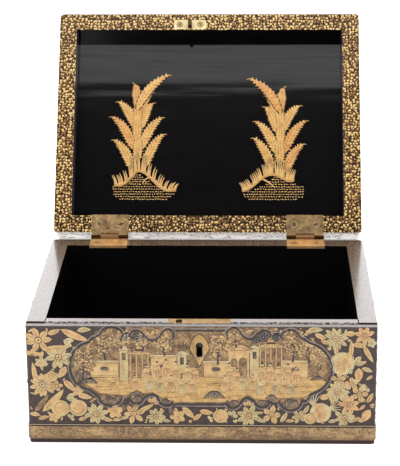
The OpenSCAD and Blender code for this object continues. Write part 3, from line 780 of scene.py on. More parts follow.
def shell(relief, finish, x, y, r, turn=0):
    # a fluted shell on a pale dish
    lift = relief.layer()
    relief.disc("ink", x, y, r + 0.4, lift - 0.06, 0.04, 1, 0, 20)
    relief.disc("paleGold", x, y, r, lift, 0.06, 1, 0, 20)
    for k in range(7):
        a = turn - 66 + 22 * k
        leaf(relief, finish, *polar(x, y, -0.45 * r, turn), a, r * 1.15, r * 0.4, 4 * (k - 3), lift + 0.05,
            0.16, 1, 1.4)
    relief.disc("warmGold", *polar(x, y, -0.45 * r, turn), r * 0.25, lift + 0.2, 0.1, sides=10)


def plume(relief, finish, x, y, r, turn=90):
    # a fan of thin strokes
    for k in range(6):
        relief.ribbon(finish, arcPath(x, y, turn - 30 + 12 * k, r, -20 + 8 * k, 6),
            [0.9, 1, 0.9, 0.8, 0.6, 0.2], 0.14, 0.12)


def simpleLeaf(relief, finish, x, y, r, turn=0):
    bend = relief.rng.choice((-22, -14, 14, 22))
    leaf(relief, finish, *polar(x, y, -r, turn), turn - bend / 2, 2 * r, 0.78 * r, bend, relief.layer(),
        0.2, 2, 0.8)


def blade(relief, finish, x, y, r, turn=0):
    leaf(relief, finish, *polar(x, y, -r, turn), turn - 6, 2 * r, 0.48 * r, 12, relief.layer(), 0.2, 2, 0.8)


def pad(relief, finish, x, y, r, turn=0):
    # a pair of rounded petals
    for side in (-1, 1):
        leaf(relief, finish, *polar(x, y, -0.7 * r, turn), turn + side * 26, 1.7 * r, 0.85 * r, side * -14,
            relief.layer(), 0.18, 1, 1.25)


def pear(relief, finish, x, y, r, turn=0):
    lift = relief.layer()
    leaf(relief, finish, *polar(x, y, -r, turn), turn, 2 * r, 1.1 * r, 0, lift, 0.24, 1, 1.2)
    leaf(relief, "greenGold", *polar(x, y, -r, turn), turn + 60, r, 0.5 * r, 20, lift + 0.04, 0.14, 0)


def trefoil(relief, finish, x, y, r, turn=90):
    for spread in (-62, 62, 0):
        leaf(relief, finish, x, y, turn + spread, r * 1.1, r * 0.7, 0, relief.layer(), 0.18, 1, 1.3)
    relief.disc("shade", x, y, r * 0.2, 0.34, 0.08, sides=8)


def spray(relief, finish, x, y, r, turn=0):
    # a twig with a few small leaves and a bud
    stem = arcPath(*polar(x, y, -r, turn), turn, 2 * r, 30, 6)
    relief.ribbon("gold", stem, [0.5] * 5 + [0.2], 0.1, 0.1)
    for k, (px, py) in enumerate(stem[1:]):
        leaf(relief, finish, px, py, turn + (55 if k % 2 else -55), r * 0.62, r * 0.32, 0, 0.14, 0.14, 0)
    relief.disc("warmGold", *stem[-1], r * 0.2, 0.16, 0.14, sides=8)


motifs = {
    "bloom5": lambda r, f, x, y, s, t: bloom(r, f, x, y, s, t, 5, 0.85, 1.2),
    "bloom6": lambda r, f, x, y, s, t: bloom(r, f, x, y, s, t, 6, 0.8),
    "bloom7": lambda r, f, x, y, s, t: bloom(r, f, x, y, s, t, 7, 0.85, 1.0),
    "bloom8": lambda r, f, x, y, s, t: bloom(r, f, x, y, s, t, 8, 0.95),
    "aster": aster,
    "plum": plum,
    "crest": crest,
    "fruit": fruit,
    "shell": shell,
    "plume": plume,
    "leaf": simpleLeaf,
    "blade": blade,
    "pad": pad,
    "pear": pear,
    "trefoil": trefoil,
    "spray": spray,
}


def scatter(relief, field, keepOut, taken, sizes, tries):
    # fills what is left of a field with motifs, the large ones first
    rng = relief.rng
    x0, y0, x1, y1 = field
    large = ("aster", "bloom8", "bloom7", "fruit", "crest", "bloom6", "plum", "shell", "blade", "pad",
        "pear")
    small = ("leaf", "plum", "leaf", "spray", "bloom5", "leaf", "trefoil", "blade", "pad")
    tints = ("gold", "gold", "warmGold", "gold", "greenGold", "warmGold", "paleGold")
    for size in sizes:
        for _ in range(tries):
            x, y = rng.uniform(x0 + size, x1 - size), rng.uniform(y0 + size, y1 - size)
            turn = rng.uniform(0, 360)
            kind = rng.choice(large if size > 4.5 else small)
            tint = rng.choice(tints)
            if any((x - a) ** 2 + (y - b) ** 2 < (0.86 * (size + c)) ** 2 for a, b, c in taken):
                continue
            if keepOut and any(inside(keepOut, *polar(x, y, size, k)) for k in range(0, 360, 45)):
                continue
            motifs[kind](relief, tint, x, y, size, turn)
            taken.append((x, y, size))


print("motifs ready")


# The cartouche: half of its scrollwork, from the top middle round the left to the bottom middle

cartouche = {
    "topScroll": [(-27, 91), (-26, 96), (-23.6, 100), (-24, 104), (-28, 106.4), (-32, 104.6), (-35, 100),
        (-38.5, 97), (-43, 96.5), (-47, 99), (-50.5, 103.2), (-54.5, 105), (-58.5, 104), (-60.6, 101),
        (-59.4, 98.6), (-57.2, 99.2)],
    "bump": [(-67.6, 99), (-66.2, 101.8), (-63.4, 103), (-60.8, 101.6)],
    "side": [(-70.4, 97.2), (-67.2, 99), (-67.4, 103), (-71, 106.6), (-77, 107.9), (-83, 106),
        (-86.6, 101.4), (-89.4, 99.4), (-93, 97.4), (-95.6, 94.2), (-101, 92.2), (-107, 87.6), (-111, 80.6),
        (-112.3, 72), (-111, 63), (-107, 56), (-101, 51.8), (-96.4, 50.8), (-93.4, 48), (-90, 45),
        (-88, 42.6), (-86.6, 39), (-83.2, 36.6), (-78.6, 35.4), (-73.6, 36.6), (-70, 40), (-69, 43.4),
        (-70.6, 45.6)],
    "lowScroll": [(-60.4, 45), (-62, 42.4), (-60, 39), (-56, 37.2), (-52.4, 38.8), (-49.8, 42.4),
        (-46.4, 45.2), (-42, 46), (-38, 44.6), (-36.8, 41), (-35, 37.8), (-31, 35.9), (-27, 36.4),
        (-24.4, 39), (-25.4, 41.2)],
    "top": 105.2,
    "low": 37.2,
    "lineEnd": 22.5,
    "ink": 1.5,
    "pale": 0.8,
    "apart": 1.9,
}
# the right half as the painter drew it on the front
cartoucheRight = {
    "topScroll": [(24, 96), (22, 100), (22, 103.4), (24.4, 106.6), (28, 108), (32, 106), (34.4, 102),
        (37.4, 99), (41, 97.6), (45, 99), (48, 102.4), (52, 105.4), (56, 105), (59, 102), (58.4, 99.6),
        (56.6, 99.4)],
    "bump": [(60.4, 100), (62, 102), (65.6, 102.2), (68, 100.2)],
    "side": [(70.6, 97.4), (68.2, 99.6), (69.4, 102.6), (72, 105), (76, 106), (80.4, 104.8),
        (83.6, 101.4), (85.6, 99), (91.4, 94.8), (95.6, 93), (101, 90), (106, 85), (110, 78),
        (111.6, 71.6), (110.4, 64), (107, 57), (102, 51.4), (97, 48.2), (93.4, 46.4), (92, 43),
        (89.4, 40.8), (86.4, 40.4), (85, 37.4), (82.6, 34), (78, 32), (73, 33), (69, 36), (66.6, 40.4),
        (68.6, 42)],
    "lowBump": [(58.6, 39), (61.4, 37.6), (64.4, 38), (66.4, 40)],
    "lowScroll": [(58.6, 42.4), (57.2, 40.6), (57.4, 37.4), (54, 35), (49.4, 35.4), (46, 39), (43, 42),
        (39, 43.4), (36, 42), (33, 38), (30, 34.8), (26, 34), (22.4, 36), (21.4, 39.4), (23.4, 40.8)],
}


def cartoucheStrokes(c, fit, right=None):
    # the scrollwork fitted to a face; fit turns a place on the front into one on that face
    strokes = []
    for side in (1, -1):
        half, turn = (right, 1) if right and side < 0 else (c, side)
        for key in ("topScroll", "bump", "side", "lowBump", "lowScroll"):
            if key in half:
                strokes.append((key, side, smoothPath([fit(turn * x, y) for x, y in half[key]])))
    return strokes


def cartoucheOutline(c, fit, strokes, side):
    # one half of what the scrollwork encloses, from the top line to the bottom line
    out = [fit(keyX, c["top"]), fit(-side * c["lineEnd"], c["top"])]
    for key, s, path in strokes:
        if s == side and not key.endswith("ump"):
            out += path[12 if key == "topScroll" else 4:-10]
    return out + [fit(-side * c["lineEnd"], c["low"]), fit(keyX, c["low"])]


def drawCartouche(relief, c, fit, strokes, bold=1):
    for key, side, path in strokes:
        count = len(path)
        taper = [min(1, 0.35 + 4 * min(i, count - 1 - i) / count) for i in range(count)]
        relief.ribbon("ink", path, [c["ink"] * bold * t for t in taper], 0.4, 0.14)
        cut = 10 if key in ("topScroll", "lowScroll") else 4
        relief.ribbon("paleLine", offsetPath(path, side * c["apart"] * bold)[cut:count - cut],
            c["pale"] * bold, 0.38, 0.12)
    for y, away in ((c["top"], 1), (c["low"], -1)):
        for gap, width, finish in ((0, c["ink"], "ink"), (c["apart"], c["pale"], "paleLine")):
            ends = [fit(s * c["lineEnd"], y) for s in (-1, 1)]
            relief.ribbon(finish, [(x, z + away * gap * bold) for x, z in ends], width * bold, 0.25, 0.12)


# The walled garden inside a cartouche; every piece is drawn between two fitted corners

def block(x0, y0, x1, y1):
    return [(x0, y0), (x1, y0), (x1, y1), (x0, y1)]


def wall(relief, x0, y0, x1, y1):
    relief.plate("gold", block(x0, y0, x1, y1), 0.14, 0.5)
    relief.plate("paleGold", block(x0 - 0.8, y1 - 1.6, x1 + 0.8, y1), 0.2, 0.35)
    for y in (y0 + 1.6, y1 - 3):
        relief.ribbon("shade", [(x0 + 0.6, y), (x1 - 0.6, y)], 0.35, 0.16, 0.04)
    mid, level = (x0 + x1) / 2, (y0 + y1) / 2
    relief.disc("deepHatch", mid, level, 3.6, 0.16, 0.05, 0.62, 0, 16)
    relief.ribbon("shade", [polar(mid, level, 4, 24 * k) for k in range(16)], 0.3, 0.15, 0.05)


def tower(relief, x0, y0, x1, y1):
    mid, half = (x0 + x1) / 2, (x1 - x0) / 2
    relief.plate("greenGold", block(x0, y0, x1, y1), 0.18, 0.45)
    cap = [(x0 - 1.2, y1), (x1 + 1.2, y1), (x1 - 0.6, y1 + 2.4), (mid, y1 + 4), (x0 + 0.6, y1 + 2.4)]
    relief.plate("paleGold", cap, 0.24, 0.4)
    relief.plate("deepHatch", block(mid - half * 0.4, y1 - 9, mid + half * 0.4, y1 - 2.4), 0.22, 0.3)
    for k in range(1, 6):
        y = y0 + (y1 - 10 - y0) * k / 6
        relief.ribbon("gold", [(x0 + 1, y), (x1 - 1, y)], 0.45, 0.2, 0.05)


def roof(relief, x0, x1, y, rise, finish="gold"):
    # tiled, with lifted eaves
    mid = (x0 + x1) / 2
    under = [(x0 - 2.6, y + 1.4), (x0 + 1, y), (mid, y - 0.2), (x1 - 1, y), (x1 + 2.6, y + 1.4)]
    over = [(x1 + 2.6, y + 1.8), (x1 - 2, y + rise * 0.5), (mid + 3, y + rise), (mid - 3, y + rise),
        (x0 + 2, y + rise * 0.5), (x0 - 2.6, y + 1.8)]
    relief.plate(finish, smoothPath(under, 4) + smoothPath(over, 4), 0.24, 0.5)
    tiles = int((x1 - x0) / 1.5)
    for k in range(1, tiles):
        x = x0 + (x1 - x0) * k / tiles
        reach = rise * (0.95 - 0.9 * abs(k / tiles - 0.5))
        relief.ribbon("shade", [(x, y + 0.5), (mid + (x - mid) * 0.5, y + reach)], 0.32, 0.25, 0.03)


def pavilion(relief, x0, y0, x1, y1):
    relief.plate("hatch", block(x0, y0, x1, y1), 0.14)
    posts = max(3, int((x1 - x0) / 4.4))
    for k in range(posts + 1):
        x = x0 + (x1 - x0) * k / posts
        relief.ribbon("shade", [(x, y0), (x, y1)], 1.5, 0.16, 0.02)
        relief.ribbon("gold", [(x, y0), (x, y1)], 0.8, 0.19, 0.08)
    bars = 4
    for k in range(bars):
        y = y0 + (y1 - y0) * 0.34 * (k + 0.6) / bars
        relief.ribbon("gold", [(x0 - 0.6, y), (x1 + 0.6, y)], 0.5, 0.2, 0.08)
    roof(relief, x0 - 0.5, x1 + 0.5, y1, 4.8, "gold")
    inset = (x1 - x0) * 0.22
    roof(relief, x0 + inset, x1 - inset, y1 + 3.6, 3.2, "warmGold")


def gate(relief, x0, y0, x1, y1):
    relief.plate("gold", block(x0, y0, x1, y1), 0.16, 0.5)
    for share, width in ((0.28, 0.15), (0.7, 0.19)):
        mid, half = x0 + (x1 - x0) * share, (x1 - x0) * width
        spring = y0 + (y1 - y0) * 0.62
        foot = y0 + (0 if share > 0.5 else 8)
        turns = [math.pi * k / 8 for k in range(9)]
        curve = [(mid - half * math.cos(a), spring + half * math.sin(a)) for a in turns]
        arch = [(mid - half, foot)] + curve + [(mid + half, foot)]
        relief.plate("hatch", arch, 0.2)
        relief.ribbon("shade", arch, 0.6, 0.22, 0.08)
    relief.ribbon("warmGold", [(x0 - 1, y1 - 1.4), (x1 + 1, y1 - 1.4)], 1.6, 0.22, 0.1)
    roof(relief, x0 - 1, x1 + 1, y1, 4.8, "warmGold")


def tree(relief, x, y, height, spread, lean):
    rng = relief.rng
    trunk = arcPath(x, y, 90 + lean, height, -lean * 1.6, 8)
    relief.ribbon("ink", trunk, [1.8 - 0.17 * k for k in range(8)], 0.26, 0.1)
    for k in range(2, 8):
        px, py = trunk[k]
        for side in (-1, 1):
            reach = spread * (1.12 - 0.08 * k) * rng.uniform(0.7, 1.1)
            bough = arcPath(px, py, 90 + side * rng.uniform(44, 78), reach, -side * 24, 5)
            relief.ribbon("ink", bough, [0.9, 0.8, 0.6, 0.45, 0.3], 0.26, 0.08)
            for bx, by in bough[1:]:
                for _ in range(4):
                    tint = rng.choice(("hatch", "gold", "shade", "hatch", "greenGold", "hatch", "warmGold"))
                    leaf(relief, tint, *polar(bx, by, rng.uniform(0.4, spread * 0.2), rng.uniform(0, 360)),
                        rng.uniform(0, 360), rng.uniform(1.8, 3.4), rng.uniform(0.9, 1.5), 0, 0.28, 0.1, 0,
                        border=("shade", 0.6))


def rockMound(relief, x, y, wide, high, finish="deepHatch"):
    rng = relief.rng
    outline = [(x - wide, y)]
    for k in range(1, 8):
        t = k / 8
        level = high * math.sin(math.pi * t) * rng.uniform(0.75, 1.15)
        outline.append((x - wide + 2 * wide * t, y + level))
    outline.append((x + wide, y))
    shape = smoothPath(outline, 3)
    relief.plate(finish, shape, 0.2)
    relief.ribbon("ink", shape, 0.7, 0.22, 0.06)
    for k in range(6):
        start, reach = x - wide * 0.7 + wide * 0.24 * k, high * rng.uniform(0.4, 0.7)
        stroke = arcPath(start, y + 0.6, 80 - 10 * k, reach, 40, 4)
        relief.ribbon("gold" if k % 2 else "paleLine", stroke, [0.4, 0.4, 0.3, 0.1], 0.22, 0.05)


def rosette(relief, x, y, r):
    relief.disc("ink", x, y, r, 0.32, 0.04, sides=14)
    for k in range(8):
        spot = polar(x, y, r * 0.64 if k else 0, 51.4 * k)
        relief.disc("paleLine", *spot, r * 0.12, 0.36, 0.06, sides=6)


def figure(relief, x, y, h, finish, hand=1):
    # a small robed figure with a cap, seen as a shape only
    rng = relief.rng
    relief.count += 1
    lift = 0.26 + 0.02 * (relief.count % 3)
    line = ("shade", 0.45)
    waist = y + 0.56 * h
    for k in range(5):
        lean = (k - 2) * 9 + rng.uniform(-3, 3)
        leaf(relief, finish, x + (k - 2) * 0.03 * h, waist + 0.08 * h, -90 + lean, 0.62 * h, 0.15 * h,
            -lean, lift, 0.1, 1, 1.3, line)
    for k in range(2):
        leaf(relief, finish, x + (k - 0.5) * 0.08 * h, waist - 0.06 * h, 90 + (0.5 - k) * 12, 0.3 * h,
            0.17 * h, 0, lift + 0.02, 0.1, 0, 0.9, line)
    leaf(relief, finish, x, waist + 0.18 * h, 90 - hand * 118, 0.32 * h, 0.13 * h, hand * 50, lift + 0.05,
        0.1, 1, 1.2, line)
    leaf(relief, finish, x, waist + 0.18 * h, 90 + hand * 150, 0.26 * h, 0.12 * h, -hand * 30, lift + 0.05,
        0.1, 0, 1.2, line)
    relief.ribbon("shade", [(x - 0.09 * h, waist - 0.02 * h), (x + 0.09 * h, waist)], 0.5, lift + 0.1, 0.05)
    relief.disc("paleGold", x, y + 0.87 * h, 0.06 * h, lift + 0.04, 0.1, sides=8)
    relief.disc("ink", x - 0.01 * h * hand, y + 0.92 * h, 0.055 * h, lift + 0.1, 0.08, 0.7, 0, 8)


garden = {
    "terrace": [(-104, 58), (-97, 61), (-70, 62.5), (-40, 62), (0, 63), (40, 62), (78, 62), (98, 63),
        (108, 58), (103, 53), (95, 49), (90, 45), (84, 43), (66, 43), (57, 41), (46, 42), (40, 46),
        (34, 42), (22, 39), (-24, 39), (-34, 43), (-42, 48), (-50, 47), (-66, 45), (-88, 47), (-94, 52)],
    "wall": [(-95, 62, -71, 77.6), (-43, 62, -21, 83), (2, 62, 23, 77.6), (69, 61, 91, 78.4)],
    "tower": [(-70, 58, -62.5, 87), (-20.5, 66, -12.5, 83), (41.5, 60, 49.5, 88.6)],
    "gate": [(23, 60, 41, 87.4)],
    "pavilion": [(-60.5, 60, -45.5, 83), (50.5, 61, 68.5, 90)],
    "trees": [(-82, 78, 22, 13, 12), (-102, 60, 25, 12, -8), (-68, 88, 12, 9, 8),
        (78, 77, 24, 13, -10), (92, 76, 14, 10, 14), (14, 74, 24, 11, -6), (-31, 82, 18, 11, 14),
        (30, 90, 12, 9, 6), (-50, 86, 13, 9, -14), (102, 70, 12, 8, 6)],
    "rocks": [(-102, 60, 8, 11), (-106, 70, 5, 10), (-97, 56, 8, 6), (-79, 37.5, 8.6, 6.4),
        (-55, 39, 6, 6.6), (-56, 45, 7, 4), (-30, 37.5, 5, 4.6), (11, 43, 9, 7.4), (28, 36.5, 5.4, 5),
        (53, 36.5, 6, 5.6), (60, 42, 5, 5), (77, 34.6, 9, 8.6), (100, 60, 7, 3.4)],
    "rosettes": [(-67, 98, 3.6), (-63.4, 101.2, 2.6), (-54.6, 99, 4.6), (-49.4, 97.6, 3),
        (46.4, 97.4, 3.6), (53, 99.6, 4.4), (63.6, 98.4, 3)],
    "people": [(-47, 56, 19, "gold", 1), (-38, 57, 21, "gold", -1), (-30, 58, 22, "warmGold", 1),
        (-22, 57, 21, "gold", -1), (-12, 56, 20, "gold", 1), (-5, 55, 18, "warmGold", -1),
        (24, 56, 21, "gold", 1), (30, 52, 20, "warmGold", -1), (52, 55, 22, "gold", 1),
        (59, 56, 21, "warmGold", -1), (66, 55, 20, "gold", 1), (74, 56, 20, "gold", -1),
        (81, 55, 18, "warmGold", 1), (-57, 50, 15, "warmGold", 1), (-44, 49, 17, "paleGold", -1),
        (-35, 48, 16, "greenGold", 1), (-26, 48, 17, "gold", -1), (-17, 46, 17, "greenGold", 1),
        (-8, 47, 16, "gold", -1), (20, 48, 17, "gold", -1), (35, 50, 16, "greenGold", 1),
        (44, 50, 16, "gold", -1), (51, 46, 15, "paleGold", 1), (63, 46, 16, "greenGold", -1),
        (71, 47, 15, "gold", 1), (77, 46, 14, "greenGold", 1), (-76, 50, 13, "gold", 1)],
    "court": (-92, 88, 40, 61),
    "planks": 150,
    "twigs": 420,
}


def drawGarden(relief, g, fit, scale, halves):
    rng = relief.rng
    for outline in halves:
        relief.plate("hatch", outline, 0.05)
    xs = [x for outline in halves for x, y in outline]
    ys = [y for outline in halves for x, y in outline]
    for k in range(g["twigs"]):
        x, y = rng.uniform(min(xs), max(xs)), rng.uniform(min(ys), max(ys))
        end = polar(x, y, rng.uniform(1.6, 4) * scale, rng.uniform(20, 160))
        if any(inside(o, x, y) and inside(o, *end) for o in halves):
            relief.ribbon(rng.choice(("gold", "ink", "shade", "greenGold")), [(x, y), end], [0.5, 0.2], 0.1,
                0.06)
    relief.plate("goldWash", [fit(x, y) for x, y in g["terrace"]], 0.12, 0.5)
    for x, y, wide, high in g["rocks"][:2]:
        rockMound(relief, *fit(x, y), wide * scale, high * scale)
    for x, y, height, spread, lean in g["trees"]:
        tree(relief, *fit(x, y), height * scale, spread * scale, lean)
    for name, draw in (("wall", wall), ("gate", gate), ("pavilion", pavilion), ("tower", tower)):
        for x0, y0, x1, y1 in g[name]:
            draw(relief, *fit(x0, y0), *fit(x1, y1))
    west, east, south, north = g["court"]
    for k in range(g["planks"]):
        x, y = rng.uniform(west, east), rng.uniform(south, north)
        reach = rng.uniform(4, 12)
        if inside(g["terrace"], x, y) and inside(g["terrace"], x + reach, y):
            relief.ribbon("shade", [fit(x, y), fit(x + reach, y)], [0.4, 0.3], 0.13, 0.05)
    for x, y, wide, high in g["rocks"][2:]:
        rockMound(relief, *fit(x, y), wide * scale, high * scale)
    for x, y, height, finish, hand in g["people"]:
        figure(relief, *fit(x, y), height * scale, finish, hand)
    for x, y, r in g["rosettes"]:
        rosette(relief, *fit(x, y), r * scale)


# The front of the box

frontMotifs = [
    ("bloom7", "gold", -139, 96, 11, 100), ("blade", "gold", -123.5, 89, 11.5, 8),
    ("blade", "warmGold", -107.5, 100.8, 12, -24), ("leaf", "gold", -125.5, 104, 5.4, 20),
    ("pad", "paleGold", -114, 94.5, 4.8, -20), ("leaf", "greenGold", -99.5, 105.2, 5.5, 6),
    ("bloom8", "greenGold", -122, 80.5, 10.5, 15), ("trefoil", "gold", -145, 82, 5.2, 80),
    ("crest", "greenGold", -137, 73, 7, 90), ("blade", "gold", -144, 67, 8, 96),
    ("fruit", "gold", -128.5, 62.3, 4.6, 0), ("pear", "gold", -119, 66.5, 5.4, 60),
    ("aster", "gold", -137, 55, 10.8, 0), ("bloom5", "gold", -124.5, 53.5, 5, 10),
    ("leaf", "warmGold", -113.5, 53.5, 6.6, -46), ("leaf", "gold", -100.5, 44.6, 6.2, -16),
    ("pad", "greenGold", -113, 42.6, 4.6, 10), ("plum", "gold", -106.5, 49, 5, 10),
    ("blade", "gold", -128, 40, 13, 48), ("blade", "hatch", -138, 37.5, 9.4, 52),
    ("fruit", "gold", -122, 32.6, 7.2, 40), ("fruit", "warmGold", -106.5, 33, 7.2, 200),
    ("leaf", "gold", -144, 26.5, 4.6, -10), ("leaf", "gold", -136.5, 23.4, 4.4, 15),
    ("plum", "gold", -127.5, 24.4, 5, 0), ("trefoil", "paleGold", -114, 23.3, 3.6, 40),
    ("leaf", "gold", -102.4, 23.4, 4, 20), ("bloom8", "greenGold", -91, 27.5, 9.6, 10),
    ("plum", "warmGold", -74.5, 30, 6.6, 20), ("leaf", "gold", -81, 22.6, 4.2, -15),
    ("leaf", "gold", -73, 21.8, 3.4, 0), ("trefoil", "deepHatch", -66, 32, 4.4, 120),
    ("leaf", "greenGold", -66.5, 23.6, 3.6, 10), ("bloom6", "gold", -58.5, 28, 8.6, 75),
    ("blade", "gold", -48, 33.6, 7.6, 28), ("trefoil", "warmGold", -42, 38, 4.8, 70),
    ("bloom8", "greenGold", -39.5, 25.4, 8, 0), ("leaf", "greenGold", -30.6, 21.8, 3.8, -15),
    ("trefoil", "deepHatch", -27.4, 29.5, 4.2, 20), ("plum", "gold", -20.6, 25.4, 6.4, 40),
    ("leaf", "gold", -11.5, 28.8, 6.6, -46), ("leaf", "gold", -3.4, 25, 4.6, 40),
    ("leaf", "warmGold", 4.4, 30, 5.6, -10), ("trefoil", "paleGold", 6.5, 22.6, 3.2, 30),
    ("fruit", "warmGold", 16.5, 26, 6, 90), ("trefoil", "greenGold", 26, 26.2, 4.6, 60),
    ("bloom8", "greenGold", 41, 26.2, 9.6, 20), ("trefoil", "warmGold", 40.5, 36, 4.4, 90),
    ("leaf", "paleGold", 51, 22, 4.2, -18), ("bloom5", "gold", 60.5, 27.6, 7.6, 70),
    ("leaf", "greenGold", 71, 25.4, 5, 60), ("leaf", "gold", 76.4, 21.6, 3.6, 0),
    ("bloom6", "greenGold", 84, 26, 6.2, 10), ("leaf", "greenGold", 90, 33, 4.2, 60),
    ("fruit", "gold", 93.6, 24, 4.8, 0), ("shell", "warmGold", 102.5, 29.5, 8.4, 20),
    ("plume", "paleGold", 96, 36, 12, 96), ("plume", "paleGold", 109, 33, 11, 20),
    ("bloom8", "greenGold", 123.5, 25, 8.4, 10), ("leaf", "paleGold", 113.4, 22.2, 4, 15),
    ("leaf", "gold", 132.6, 23.6, 4, 10), ("pear", "warmGold", 141.5, 26.8, 6.4, 60),
    ("bloom7", "warmGold", 127.5, 37.5, 8.6, 20), ("bloom5", "gold", 135.5, 47.6, 7, 0),
    ("leaf", "gold", 144.6, 44, 4.8, 60), ("aster", "greenGold", 117, 49.5, 10, 0),
    ("leaf", "gold", 112.6, 40.6, 3.6, 100), ("pear", "gold", 106.4, 44.6, 4.4, 200),
    ("bloom5", "gold", 117.6, 61, 6.2, 90), ("bloom5", "warmGold", 128.5, 56.6, 6.2, 20),
    ("trefoil", "paleGold", 142, 54, 4.2, 220), ("pear", "warmGold", 134.6, 65, 6, 90),
    ("leaf", "greenGold", 141.6, 69.5, 4.6, -20), ("shell", "gold", 120.4, 75.5, 9.6, 160),
    ("pad", "greenGold", 133.5, 77, 5, 30), ("blade", "gold", 127.4, 89, 7.6, 88),
    ("leaf", "gold", 134.5, 92, 5.4, -10), ("blade", "gold", 142.6, 84.5, 8.2, -62),
    ("plum", "paleGold", 145, 94.4, 4, 0), ("bloom7", "warmGold", 138.6, 101.2, 8.4, 20),
    ("pear", "gold", 126.4, 103, 4.2, 0), ("aster", "greenGold", 114.5, 98.5, 9.8, 0),
    ("leaf", "gold", 115.4, 87.6, 4.2, 90), ("leaf", "gold", 101.6, 100.6, 5, -24),
    ("leaf", "warmGold", 105.2, 95.4, 3.8, -36), ("leaf", "greenGold", 97, 106, 6, 3),
    ("trefoil", "gold", 91.5, 102.4, 3.4, 120),
]

holeWidest = 88.5  # height of the escutcheon's widest place
escutcheon = {
    "middle": holeWidest,
    "half": (holeHigh.x - holeLow.x) / 2 / mm + 0.3,
    "up": holeHigh.z / mm - holeWidest + 0.6,
    "down": holeWidest - holeLow.z / mm + 0.6,
    "holeMiddle": 91.2,
    "holeRadius": 3.2,
    "holeHalf": 2.7,
    "holeDown": 10.2,
}


def holeSide(side, s=escutcheon):
    # one side of the escutcheon's edge, from its bottom to its top, a little outside it
    radius = (s["half"] ** 2 + s["up"] ** 2) / (2 * s["half"])
    out = [(keyX, s["middle"] - s["down"]), (keyX + side * s["half"], s["middle"])]
    for k in range(1, 9):
        rise = s["up"] * k / 8
        out.append((keyX + side * (math.sqrt(radius ** 2 - rise ** 2) - radius + s["half"]),
            s["middle"] + rise))
    return out


def keyholeEdge(s=escutcheon):
    grow = 0.45
    wide = s["holeHalf"] + grow
    out = [(keyX - wide, s["holeMiddle"] - s["holeDown"] - grow),
        (keyX - wide, s["holeMiddle"] - s["holeRadius"] * 0.6)]
    for k in range(13):
        out.append(polar(keyX, s["holeMiddle"], s["holeRadius"] + grow, 215 - 250 * k / 12))
    return out + [(keyX + wide, out[0][1]), out[0]]


def straight(x, y):
    return x, y


def frontOfBox(placed):
    relief = Relief("frontOrnament", makeFace((0, -halfDeep, 0), (1, 0, 0), (0, 0, 1), "box"), 11)
    strokes = cartoucheStrokes(cartouche, straight, cartoucheRight)
    halves = [cartoucheOutline(cartouche, straight, strokes, side) for side in (1, -1)]
    relief.plate("hatch", block(-64, 97, 64, 108.4), 0.02)
    drawGarden(relief, garden, straight, 1, [half + holeSide(-side) for half, side in zip(halves, (1, -1))])
    drawCartouche(relief, cartouche, straight, strokes)
    for side in (-1, 1):
        relief.ribbon("ink", holeSide(side), 0.7, 0.26, 0.12)
    taken = []
    for kind, finish, x, y, size, turn in placed:
        motifs[kind](relief, finish, x, y, size * 1.1, turn)
        taken.append((x, y, size))
    whole = halves[0] + halves[1][::-1]
    grown = [(x * 1.02, 71 + (y - 71) * 1.07) for x, y in whole]
    scatter(relief, (-149.2, fieldLow, 149.2, 108.4), grown, taken, (3.6, 2.8, 2.2, 1.6), 1500)
    relief.make()
    # painted highlight: a pale ring round the keyhole where its bevelled edge catches the light
    plate = Relief("keyholeBevel", makeFace((0, holeLow.y / mm, 0), (1, 0, 0), (0, 0, 1), "box"), 1)
    plate.ribbon("paleLine", keyholeEdge(), 0.8, 0.01, 0.08)
    plate.make()


frontOfBox(frontMotifs)
print("front of the box drawn")


# The other faces carry the same ornament, laid out afresh

def panelledFace(name, face, fit, scale, field, sizes, seed):
    # a garden in a cartouche with blossoms round it
    relief = Relief(name, face, seed)
    strokes = cartoucheStrokes(cartouche, fit)
    halves = [cartoucheOutline(cartouche, fit, strokes, side) for side in (1, -1)]
    drawGarden(relief, garden, fit, scale, halves)
    drawCartouche(relief, cartouche, fit, strokes, scale)
    whole = halves[0] + halves[1][::-1]
    midX = sum(x for x, y in whole) / len(whole)
    midY = sum(y for x, y in whole) / len(whole)
    grown = [(midX + (x - midX) * 1.03, midY + (y - midY) * 1.07) for x, y in whole]
    scatter(relief, field, grown, [], sizes, 700)
    relief.make()


def borderFace(name, face, field, sizes, seed, only=None):
    # blossoms between two pale lines
    relief = Relief(name, face, seed)
    relief.only = only
    x0, y0, x1, y1 = field
    for y in (y0, y1):
        relief.ribbon("paleLine", [(x0, y), (x1, y)], 0.8, 0.1, 0.1)
    scatter(relief, (x0, y0 + 1.6, x1, y1 - 1.6), None, [], sizes, 900)
    relief.make()


blossomSizes = (9.5, 7, 5, 3.6, 2.6, 1.9)
borderSizes = (9, 6.5, 4.6, 3.4, 2.5, 1.8)
sideWide, railTop = halfDeep - 1.5, lidTop - 4.5


def onBack(x, y):
    return x, fieldLow + (y - fieldLow) * 0.93  # clear of the hinges


def onSide(x, y):
    return x * 0.72, y


def onTop(x, y):
    return x * 1.08, (y - 71.5) * 2.3


